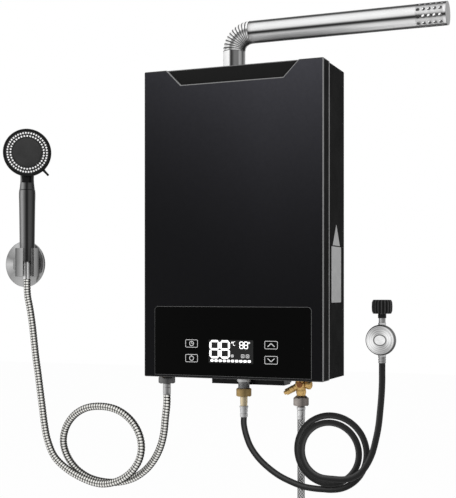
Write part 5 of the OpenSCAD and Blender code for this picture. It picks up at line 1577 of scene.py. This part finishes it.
@dataclass
class HandShower:
    """Hand shower: handle, neck, head, spray face with two rings of nozzles, mode ring with its lever."""

    x: float = -472.0
    y: float = -45.0
    turned_by: float = 33.0
    head_z: float = 152.0
    head_back: float = -4.0
    face: float = 20.0
    nozzle_rings: Sequence[tuple[float, int]] = ((38.4, 46), (32.4, 36))
    lever_angle: float = -47.0
    handle: Sequence[tuple[float, float, float, float]] = (
        (-62, 0, 13.2, 13.2), (-61.4, 0, 14, 14), (-60.4, 0, 14.3, 14.3), (-48, 0, 14.3, 14.3), (-22, 0, 14.9, 14.9),
        (20, 0, 15.4, 15.4), (53, 0, 15.9, 15.9), (66, 0, 16.3, 16.3), (74, 0, 16.3, 16.3), (78, 0, 15.9, 15.9),
        (80.5, 0, 15.2, 15.2), (87, -0.4, 14.4, 14.3), (94, -1.2, 13.6, 13.4), (101, -2.4, 13.2, 12.4),
        (107, -3.8, 13.4, 11), (113, -5, 14.4, 9), (119, -5.8, 14, 6.6), (125, -6.4, 12, 4.2), (131, -6.8, 8, 2))

    @property
    def place(self) -> Matrix:
        """Place of the handset: +Z along the handle, spray face towards -Y."""
        return moved(self.x, self.y, 0) @ spun(self.turned_by, "Z")

    @property
    def head(self) -> Matrix:
        """Place of the head: +Z out of the spray face."""
        return self.place @ moved(0, self.head_back, self.head_z) @ TO_FRONT

    def body(self) -> None:
        """Make the handle, the neck and the head's shell."""
        # painted gloss: a highlight band beside dark edges round the handle, painted into its grey
        gloss = PaintedLightRound("handset_grey_painted_gloss", grey(152), 0.16, 0.24, 0, specular=0.08, drift=0.12, drift_scale=9.0,
                            speckle=0.05, relief=0.02, space=Space.OBJECT, centre=(self.x, self.y, 0),
                            phase=-self.turned_by / 360, painted_light_stops=(
                                (0, 0.05), (0.25, 0.25), (0.5, 0.08), (0.545, 0.1), (0.57, 0.3), (0.593, 0.55),
                                (0.62, 1), (0.651, 0.97), (0.675, 0.56), (0.697, 0.3), (0.718, 0.1), (0.739, 0.02),
                                (0.759, 0.05), (0.779, 0.18), (0.8, 0.22), (0.825, 0.22), (0.846, 0.17), (0.872, 0.06),
                                (0.9, 0.01), (0.95, 0.02), (1, 0.05)))
        Workpiece().add(lofted([(moved(0, y, z), wide, deep) for z, y, wide, deep in self.handle], 48),
                        self.place).done(
            "handset_handle", Slot.DARK_PLASTIC, [gloss], ["handset_body"], 40, body=Body.HANDSET)
        shell = rounded([(0, -3), (25, -3), (37, 0), (44, 5), (46.9, 10), (46.9, 15)], 4, 4)
        Workpiece().turn(shell + [(41.2, 15), (41.2, 11), (0, 11)], self.head, steps=96, ring=False).done(
            "handset_head_shell", Slot.DARK_PLASTIC, [Shop.rim_black], body=Body.HANDSET)
        rings = [(moved(0, y - 0.5, z), wide * 0.95, deep + 0.5) for z, y, wide, deep in self.handle if 93 < z < 114]
        Workpiece().add(lofted(rings, 40), self.place).done(
            "handset_neck_inlay", Slot.DARK_PLASTIC, [Shop.gloss_black], body=Body.HANDSET)
        Workpiece().turn([(16.15, 79.6), (16, 79.9), (15.6, 80.3), (15.4, 79)], self.place, steps=64).done(
            "handset_neck_band", Slot.DARK_PLASTIC, [Shop.gloss_black], body=Body.HANDSET)

    def spray(self) -> None:
        """Make the spray face and its nozzles."""
        f = self.face
        profile = [(0, f - 4), (40.6, f - 4), (40.6, f - 1), (41.9, f - 1), (42.1, f - 0.8), (42.1, f - 0.4),
                   (41.7, f - 0.1), (29.6, f - 0.1), (29, f - 0.9), (28.4, f - 0.9), (28, f - 0.2), (27, f + 0.5),
                   (25.6, f + 1), (17, f + 2.1), (8, f + 2.6), (0, f + 2.7)]
        work = Workpiece().turn(profile, self.head, steps=96, ring=False)
        for radius, count, start in ((6, 6, 15), (12.5, 8, 0), (21, 10, 9)):
            for i in range(count):
                a = radians(start + 360 * i / count)
                lift = f + 2.7 - 1.9 * (radius / 27) ** 2
                work.turn([(0, lift - 1.2), (0.8, lift - 1.2), (0.7, lift + 0.1), (0, lift + 0.1)], self.head @ moved(
                    radius * cos(a), radius * sin(a), 0), steps=8, ring=False)
        work.done("spray_face", Slot.DARK_PLASTIC, [Shop.face_grey], ["spray_plate"], 40, body=Body.HANDSET)
        work = Workpiece()
        cone = [(0, f - 0.6), (1.8, f - 0.6), (1.8, f + 0.1), (1.55, f + 0.45), (0.9, f + 0.5), (0.6, f + 0.3),
                (0, f + 0.3)]
        for radius, count in self.nozzle_rings:
            for i in range(count):
                a = tau * i / count
                work.turn(cone, self.head @ moved(radius * cos(a), radius * sin(a), 0), steps=10, ring=False)
        work.done("spray_nozzle_tips", Slot.WHITE_RUBBER, [Shop.nozzle], ["spray_nozzles"], 40, body=Body.HANDSET)

    def mode(self) -> None:
        """Make the mode ring with its lever."""
        f = self.face
        ring = [(42.7, f - 4.7), (46, f - 4.7), (47, f - 4), (47, f - 1.6), (46.4, f - 0.7), (45.2, f - 0.2),
                (43.6, f - 0.2), (42.7, f - 0.6)]
        turn = spun(self.lever_angle, "Z")
        sizes = ((45, 3.4, 1.5), (49, 2.6, 1.45), (55, 2.1, 1.4), (59.6, 2.3, 1.4), (60.6, 1.9, 1.1), (60.9, 1, 0.6))
        lever = [(moved(r, 0, f - 2.9) @ ALONG_X, thick, wide) for r, wide, thick in sizes]
        Workpiece().turn(ring, self.head, steps=96).add(lofted(lever, 20), self.head @ turn).done(
            "mode_ring_lever", Slot.DARK_PLASTIC, [Shop.rim_black], ["mode_lever"], 40, body=Body.MODE_RING)

    def nut(self) -> Piece:
        """Make the chrome nut between the handle and its hose.

        Returns:
            The piece.
        """
        profile = rounded([(7.1, -97), (7.9, -97), (8, -93.6), (7.6, -93.2), (7.8, -92.6), (8, -66), (7.9, -62.1),
                           (7.1, -62.1)], 0.4, 2)
        # painted reflection: light and dark bands round the chrome nut, painted into its colour
        chrome = PaintedLightRound("nut_chrome_painted_reflection", grey(250), 0.16, 0.26, 0.35, drift=0.12, speckle=0.0, relief=0.01,
                             space=Space.OBJECT, centre=(self.x, self.y, 0), painted_light_stops=(
                                 (0, 0.5), (0.3, 0.6), (0.55, 0.5), (0.62, 0.9), (0.66, 1), (0.755, 1), (0.775, 0.3),
                                 (0.79, 0.04), (0.81, 0.04), (0.83, 0.5), (0.86, 0.75), (0.91, 0.6), (0.93, 0.2),
                                 (0.96, 0.14), (1, 0.5)))
        return Workpiece().turn(profile, moved(self.x, self.y, 0)).done(
            "handset_hose_nut", Slot.CHROME, [chrome], ["handset_nut"], 40, body=Body.HANDSET)

    def build(self) -> Piece:
        """Make the hand shower.

        Returns:
            Its hose nut.
        """
        self.body()
        self.spray()
        self.mode()
        return self.nut()


@dataclass
class Holder:
    """Chrome wall holder: domed disc, arm and open clip."""

    base: Point = (-505, 0, -66)
    clip: tuple[float, float] = (-472, -45)
    low: float = -92.0
    high: float = -36.0
    clip_r: float = 23.5
    slot: float = 8.5
    turned_by: float = 33.0

    def clip_shape(self) -> Shape:
        """Turn the clip, then saw its slot from the front.

        Returns:
            The shape.
        """
        ledge = -62.3
        bm = turned([(9.6, self.low), (self.clip_r, self.low), (self.clip_r, self.high), (14.9, self.high),
                     (14.9, ledge), (9.6, ledge)], 64, True)
        for x in (-self.slot, self.slot):
            slice_at(bm, (x, 0, 0), (1, 0, 0))
        gone = [f for f in bm.faces if abs(f.calc_center_median().x) < self.slot and f.calc_center_median().y < 0]
        bmesh.ops.delete(bm, geom=gone, context="FACES")
        bmesh.ops.holes_fill(bm, edges=[e for e in bm.edges if e.is_boundary], sides=0)
        return bevelled(bm, 1.6, 3, 40)

    def metal(self, name: str, tone: int, centre: Point, axis: str, phase: float) -> Finish:
        """Chrome with painted reflections: the broad light and dark of a studio, painted into its colour round an axis.
        """
        return PaintedLightRound(name, grey(tone), 0.1, 0.22, 0.8, drift=0.5, drift_scale=22.0, speckle=0.0, relief=0.01,
                           space=Space.OBJECT, centre=centre, axis=axis, phase=phase, painted_light_stops=(
                               (0, 0.4), (0.06, 0.3), (0.16, 0.45), (0.26, 0.5), (0.38, 0.62), (0.5, 0.42),
                               (0.6, 0.85), (0.66, 0.35), (0.72, 0.5), (0.78, 0.75), (0.9, 0.6), (0.95, 0.5),
                               (1, 0.4)))

    def build(self) -> None:
        """Make the holder."""
        x, y, z = self.base
        disc = rounded([(0, 6.9), (31, 6.9), (40, 5.6), (45.2, 3.4), (46.9, 1.2), (46.9, 0.1)], 1.6, 3)
        Workpiece().turn(disc + [(0, 0.1)], moved(x, y, z) @ TO_FRONT, steps=96, ring=False).done(
            "holder_disc", Slot.CHROME, [self.metal("disc_chrome_painted_reflection", 220, self.base, "y", 0.1)], ["holder_base"], 30)
        cx, cy = self.clip
        Workpiece().add(self.clip_shape(), moved(cx, cy, 0) @ spun(self.turned_by, "Z")).add(
            block((x - 10.8, -30.8, -77.8), (x + 12, -7, -54.2), 3, 4)).add(
            block((x, -29, -77.8), (cx + 8, -22, -54.2), 1.5, 3)).turn(
            rounded([(0, 9), (13, 9), (15, 0)], 1) + [(0, 0)], moved(x, -6.9, z) @ TO_FRONT, steps=64, ring=False).done(
            "holder_clip_arm", Slot.CHROME, [self.metal("clip_chrome_painted_reflection", 196, (cx, cy, 0), "z", 0)], ["holder_clip"], 35)


# ---- fittings under the case

@dataclass
class Fittings:
    """Unions of the hot, gas and cold connections, the inlet valve and the end nut of the supply hose."""

    hot: tuple[float, float] = (-150, -75)
    gas: tuple[float, float] = (3, -75)
    cold: tuple[float, float] = (111, -75)
    axis_z: float = -285.0

    def polished(self, name: str, spot: tuple[float, float], colour: Colour, dark: float = 0.25,
                 rough: float = 0.22) -> Finish:
        """Turned metal with painted reflections: the light and dark bands round a round bar, painted into its colour.
        """
        return PaintedLightRound(name, colour, rough, rough + 0.14, 0.75, drift=0.3, drift_scale=60.0, speckle=0.1,
                           relief=0.05, space=Space.OBJECT, centre=(*spot, 0), painted_light_stops=(
                               (0, 0.6), (0.2, 0.8), (0.4, 0.6), (0.52, 0.4), (0.585, 0.8), (0.63, 1), (0.7, 0.85),
                               (0.78, 0.5), (0.83, dark), (0.9, 0.4), (1, 0.6)))

    def hot_union(self) -> None:
        """Make the hot outlet's nut, its tail and the brass stub inside the case."""
        place = moved(*self.hot, 0)
        Workpiece().add(hexagon(27, 12.5), place @ moved(0, 0, -291.5)).turn(
            [(9.6, -279.4), (10.3, -279.4), (10.3, -276), (9.6, -276)], place).done(
            "hot_union_nut", Slot.STEEL, [self.polished("nut_steel_hot", self.hot, grey(132))], ["hot_union"])
        tail = rounded([(5, -312), (7.3, -312), (7.3, -309.5), (6.9, -309), (7.3, -308.4), (7.3, -299), (6.9, -298.5),
                        (7.3, -298), (7.3, -291.4), (5, -291.4)], 0.4, 2)
        Workpiece().turn(tail, place).done(
            "hot_hose_sleeve", Slot.CHROME, [self.polished("sleeve_chrome", self.hot, grey(215), 0.2, 0.08)])
        Workpiece().turn([(6.2, -280), (10.3, -280), (10.3, -272), (13.9, -271.6), (13.9, -268.2), (10.3, -267.8),
                          (10.3, -254.4), (6.2, -254.4)], place).done("hot_stub", Slot.BRASS, [Shop.brass])

    def gas_union(self) -> None:
        """Make the gas inlet: flange, threaded stub, brass nut and tail, crimped sleeve."""
        place = moved(*self.gas, 0)
        stub = [(6.1, -308), (9.6, -308)]
        for i in range(12):
            z = -295.6 + 1.05 * i
            stub += [(9.9, z), (10.4, z + 0.5)]
        stub += [(10.4, -283.2), (12.8, -283), (12.8, -273.6), (10.4, -273.4), (10.4, -219.2), (6.1, -219.2)]
        Workpiece().turn(stub, place, steps=48).done(
            "gas_stub", Slot.STEEL, [self.polished("stub_steel", self.gas, grey(226), 0.45)], ["gas_union"])
        Workpiece().add(hexagon(24, 15), place @ moved(0, 0, -310)).done(
            "gas_union_brass", Slot.BRASS, [self.polished("nut_brass", self.gas, tint(190, 162, 112), 0.3, 0.24)])
        Workpiece().turn([(3.3, -332), (6.3, -332), (6.3, -322), (6.6, -321), (6.6, -309), (3.3, -309)], place,
                         soft=0.6).done(
            "gas_tail_tube", Slot.BRASS, [self.polished("tube_brass", self.gas, tint(244, 226, 190), 0.3, 0.2)])
        crimp = [(3.3, -347), (6.6, -347), (6.95, -346.2), (6.95, -341), (6.2, -340), (6.2, -338.6), (6.95, -337.6),
                 (6.95, -334), (6.5, -333.2), (7, -331.6), (8.1, -328), (8.1, -327.1), (3.3, -327.1)]
        Workpiece().turn(crimp, place, soft=0.4).done(
            "gas_hose_sleeve", Slot.STEEL, [self.polished("crimp_steel_gas", self.gas, grey(232), 0.3)])

    def valve(self) -> None:
        """Make the brass inlet valve with its drain branch, and its round knob."""
        x, y = self.cold
        place = moved(x, y, 0)
        axis = moved(x, y, self.axis_z)
        neck = [(4.6, -316.4), (7.45, -316.4), (7.45, -304), (8.6, -300.5), (8.9, -296.5), (8.2, -294), (8.2, -277.4),
                (10.8, -276.8), (13.3, -276.4), (13.3, -273.6), (7.45, -273), (7.45, -261.2), (4.6, -261.2)]
        barrel = rounded([(0, -9), (7, -9), (8.5, -7.4), (8.5, 5.5), (7.6, 7.5), (0, 7.5)], 0.8, 2)
        away = spun(-180 + 62, "Y")
        branch = rounded([(0, 2), (6, 2), (6, 13), (5.3, 13.6), (5.3, 14.6), (6, 15.2), (6, 22), (0, 22)], 0.5, 2)
        Workpiece().turn(neck, place, steps=48, soft=0.8).turn(barrel, axis @ ALONG_X, steps=48, ring=False).turn(
            branch, axis @ away, ring=False).add(hexagon(11.2, 9), axis @ away @ moved(0, 0, 22)).turn(
            [(0, 31), (3.5, 31), (3.5, 34.4), (3, 35), (0, 35)], axis @ away, steps=32, ring=False, soft=0.4).done(
            "inlet_valve_body", Slot.BRASS, [Shop.brass], ["inlet_valve"], 40)
        Workpiece().turn([(0, 7.6), (5.4, 7.6), (5.4, 9.9), (4.9, 10.4), (2.2, 10.4), (1.8, 10), (0, 10)],
                         axis @ TO_FRONT, ring=False, soft=0.4).done("inlet_valve_red_cap", Slot.BRASS, [Shop.red_cap])
        grip = rounded([(0, 5.6), (2.5, 5.6), (2.5, 8), (6.5, 8), (8.2, 13), (8.2, 16.9), (5.6, 19.4), (0, 19.4)], 0.5,
                       2)
        knob = Workpiece().turn(grip, axis @ ALONG_X, steps=48, ring=False)
        for i in range(16):
            knob.add(block((13.2, -0.55, 7.9), (16.8, 0.55, 8.35), 0.15, 1), axis @ spun(22.5 * i, "X"))
        knob.add(block((19, -5, -0.7), (19.5, 5, 0.7), 0.2, 1), axis)
        knob.done("inlet_valve_knob", Slot.BRASS, [Shop.brass], ["valve_knob"], 40, body=Body.WATER_KNOB)

    def cold_union(self) -> Piece:
        """Make the cold union with its crimped sleeve, and the supply hose's end nut.

        Returns:
            The end nut.
        """
        place = moved(*self.cold, 0)
        Workpiece().add(hexagon(24, 15), place @ moved(0, 0, -322.5)).turn(
            [(7.6, -308), (11.9, -307.6), (8.5, -304.6), (7.6, -304.6)], place, soft=0.5).done(
            "cold_union_nut", Slot.STEEL, [self.polished("nut_steel_cold", self.cold, tint(178, 170, 164))],
            ["cold_union"])
        crimp = [(3.6, -346), (6.7, -346), (7, -345.4), (7, -342), (6.4, -341.4), (6.4, -340.4), (7, -339.8),
                 (7, -330.4), (6.2, -329.6), (7.6, -329.2), (7.6, -324.8), (6.9, -324.4), (5.5, -322), (3.6, -322)]
        Workpiece().turn(crimp, place, soft=0.35).done(
            "supply_hose_sleeve", Slot.STEEL, [self.polished("crimp_steel_cold", self.cold, grey(240), 0.3)])
        return Workpiece().add(hexagon(24, 15), place @ moved(0, 0, -616)).turn(
            [(3.6, -600.8), (7.5, -600.8), (7.5, -599.2), (6.95, -598.6), (6.95, -592), (6.4, -591.4), (6.4, -590.4),
             (6.95, -589.8), (6.95, -586.1), (3.6, -586.1)], place, soft=0.35).done(
            "supply_end_nut", Slot.STEEL, [self.polished("nut_steel_end", self.cold, grey(150))], ["water_hose_nut"])


@dataclass
class Regulator:
    """Low pressure regulator: two-part round housing, ports, black collar and ribbed hand knob."""

    centre: Point = (262, -106, -203)
    port_y: float = -98.5
    knob_foot: float = -159.0
    knob_h: float = 23.5
    knob_r: float = 17.5
    ribs: int = 18

    def housing(self) -> list[Piece]:
        """Make the round housing and its oval plate.

        Returns:
            Its pieces.
        """
        place = moved(*self.centre) @ TO_FRONT
        rings = SpunMetal("spun_aluminium", grey(244), 0.26, 0.38, 1, drift=0.2, drift_scale=50.0, speckle=0.05,
                          relief=0.35, centre=self.centre)
        face = rounded([(0, 8.4), (11.5, 8.4), (13.5, 7.4), (19.5, 7.4), (21, 8.9), (23.2, 8.9), (24.9, 7.2),
                        (24.9, 2.4), (25.9, 2.2), (25.9, 0.1)], 0.7, 3)
        pieces = [Workpiece().turn(face + [(0, 0.1)], place, steps=96, ring=False).done(
            "regulator_face", Slot.ALUMINIUM, [rings], ["regulator_cover"], 30)]
        spot = moved(self.centre[0], -114.3, self.centre[2])
        oval = [(11.4 * cos(a), 9.8 * sin(a)) for a in (tau * k / 40 for k in range(40))]
        inner = [(p * 0.84, q * 0.82) for p, q in oval]
        centre_plate = plate([(p * 0.99, q * 0.99) for p, q in inner], 0.35, 0.1, 1)
        for name, shape, tone in (("regulator_oval_rim", frame_line(oval, inner, 0.7), 118),
                                  ("regulator_oval_plate", centre_plate, 240)):
            finish = Finish(name + "_metal", grey(tone), 0.3, 0.42, 1, drift=0.5, drift_scale=120.0, relief=0.1)
            pieces.append(Workpiece().add(shape, spot).done(name, Slot.ALUMINIUM, [finish]))
        shell = rounded([(0, 0), (24.9, 0), (24.9, -3.2), (22, -5), (17.5, -6.2), (14.5, -14.9), (0, -14.9)], 1.2, 3)
        back = Workpiece().turn(shell, place, steps=72, ring=False)
        for low, high, r, steps, soft in ((-231, -224, 6.6, 40, 0.8), (-184, -174.1, 6.4, 40, 0.8),
                                          (-226, -180, 6.8, 32, 0)):
            back.turn([(0, low), (r, low), (r, high), (0, high)], moved(self.centre[0], self.port_y, 0), steps, False,
                      soft)
        pieces.append(back.done("regulator_back", Slot.ALUMINIUM, [Shop.aluminium], ["regulator_body"], 40))
        return pieces

    def ports(self) -> list[Piece]:
        """Make the outlet's crimped ferrule, the inlet stem and its black collar.

        Returns:
            Its pieces.
        """
        place = moved(self.centre[0], self.port_y, 0)
        spot = (self.centre[0], self.port_y)
        metal = Fittings().polished("port_steel", spot, grey(200), 0.3)
        crimp = rounded([(2.6, -242), (6.3, -242), (6.4, -239.6), (5.8, -239), (5.8, -238), (6.4, -237.4),
                         (6.4, -235.2), (5.8, -234.6), (5.8, -233.8), (6.4, -233.2), (6.4, -230.8), (2.6, -230.8)],
                        0.3, 2)
        stem = rounded([(2.6, -174.2), (5.65, -174.2), (5.65, -160), (5.65, -156.2), (8, -155.6), (8, -153.4),
                        (5.2, -152.6), (5.2, -138), (2.6, -138)], 0.4, 2)
        pieces = [Workpiece().turn(crimp, place).turn(stem, place).done(
            "regulator_ports", Slot.ALUMINIUM, [metal], ["regulator_stem"], 40)]
        pieces.append(Workpiece().turn(
            [(5.75, -166.4), (6.9, -166.4), (7, -165.4), (7, -160.2), (6.6, -159.4), (5.75, -159.4)], place,
            soft=0.4).done("regulator_collar", Slot.BLACK_PLASTIC, [Shop.black]))
        return pieces

    def knob(self) -> Piece:
        """Make the ribbed hand knob that screws on the tank.

        Returns:
            The piece.
        """
        r, h = self.knob_r, self.knob_h
        barrel = rounded([(11, 0), (r - 2.2, 0), (r - 0.3, 4.5), (r, h / 2), (r - 0.3, h - 4.5), (r - 2.2, h),
                          (11, h)], 1.2, 3)
        wall = turned(barrel, self.ribs * 8, True)
        for v in wall.verts:
            if v.co.xy.length > 13:
                crest = 0.5 + 0.5 * cos(self.ribs * atan2(v.co.y, v.co.x))
                v.co.xy *= 1 - 0.09 * (1 - crest ** 0.6)
        # painted shine: each rib's crest lighter and the valley beside it darker, painted into the knob's colour
        shine = (0, 0.55), (0.1, 0.35), (0.22, 0.06), (0.5, 0.02), (0.8, 0.05), (0.9, 0.3), (1, 0.55)
        ribbed = PaintedLightRound("knob_black_ribs_painted_shine", grey(90), 0.2, 0.3, specular=0.12, drift=0.9, drift_scale=55.0,
                             relief=0.05, space=Space.OBJECT, repeat=self.ribs,
                             centre=(self.centre[0], self.port_y, 0), painted_light_stops=shine)
        spot = moved(self.centre[0], self.port_y, self.knob_foot)
        return Workpiece().add(wall, spot).turn([(5.8, 0.2), (11.1, 0.2), (11.1, 3.2), (5.8, 3.2)], spot,
                                                steps=48).done(
            "tank_knob_ribbed", Slot.BLACK_PLASTIC, [ribbed], ["tank_knob"], 35, body=Body.TANK_KNOB)

    def build(self) -> list[Piece]:
        """Make the regulator.

        Returns:
            Its pieces.
        """
        return self.housing() + self.ports() + [self.knob()]


@dataclass
class PlungerSpring:
    """Coil spring behind the gas valve's plunger, which presses it shorter as it comes; it is drawn once, in the box of
    its CAD node.
    """

    turns: int = 4
    wire: float = 0.9
    finer: int = 4

    def build(self) -> None:
        """Make the spring between the plunger and the blind end of its bore."""
        low, high = (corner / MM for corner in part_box("plunger_spring"))
        middle, r = (low + high) / 2, (high.z - low.z - self.wire) / 2
        first, last = low.x + self.wire / 2, high.x - self.wire / 2
        steps = 8 * self.turns
        route = Route([(first + (last - first) * i / steps, middle.y + r * cos(tau * i / 8),
                        middle.z + r * sin(tau * i / 8)) for i in range(steps + 1)], finer=self.finer)
        piece = route.rod(self.wire / 2, steps * self.finer, 10).done(
            "plunger_spring_coil", Slot.STEEL, [Shop.steel], ["plunger_spring"], 60, None)
        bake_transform(piece)


class Inside:
    """CAD nodes that stay as they are and get their finishes."""

    # the CAD case nodes take the darker copy of the case paint with painted shade; the black rubber ones take the
    # hose's painted sheen
    finishes: dict[str, Finish] = {
        "case_paint": Shop.paint_side_shaded, "black_glass": Shop.glass, "dark_plastic": Shop.grey_part,
        "black_plastic": Shop.black, "grey_plastic": Shop.strip, "white_plastic": Shop.white, "board": Shop.board,
        "brass": Shop.brass, "copper": Shop.copper, "steel": Shop.steel, "zinc_steel": Shop.zinc,
        "polished_steel": Shop.steel, "aluminium": Shop.aluminium, "chrome": Shop.steel, "red_rubber": Shop.seal,
        "black_rubber": Shop.rubber, "white_rubber": Shop.nozzle}

    def dress(self) -> None:
        """Give every CAD node that still shows its finish."""
        slots = {part["node"]: part["material_slot"] for part in frame["record"]["subparts"]}
        for name, node in frame["nodes"].items():
            finish = Shop.cap if name == "flue_cap" else self.finishes[slots[name]]
            node.data.materials.clear()
            node.data.materials.append(finish.build())
            if not node.hide_render:
                LOG.info("%s: CAD node in %s", name, finish.name)


def main() -> None:
    """Build the studio and every sub-assembly in order."""
    logging.basicConfig(level=logging.INFO, format="%(name)s: %(message)s")
    scene = bpy.context.scene
    scene.view_settings.view_transform = "Standard"
    Studio().build()
    hoses = Hoses()
    hoses.build()
    regulator = Regulator().build()
    fittings = Fittings()
    end_nut = fittings.cold_union()
    fittings.hot_union()
    fittings.gas_union()
    fittings.valve()
    CaseFront().build()
    ControlGlass().build()
    SideStrip().build()
    Flue().build()
    shower_nut = HandShower().build()
    Holder().build()
    PlungerSpring().build()
    hoses.declare(shower_nut, regulator, end_nut)
    Inside().dress()


if __name__ == "__main__":
    main()
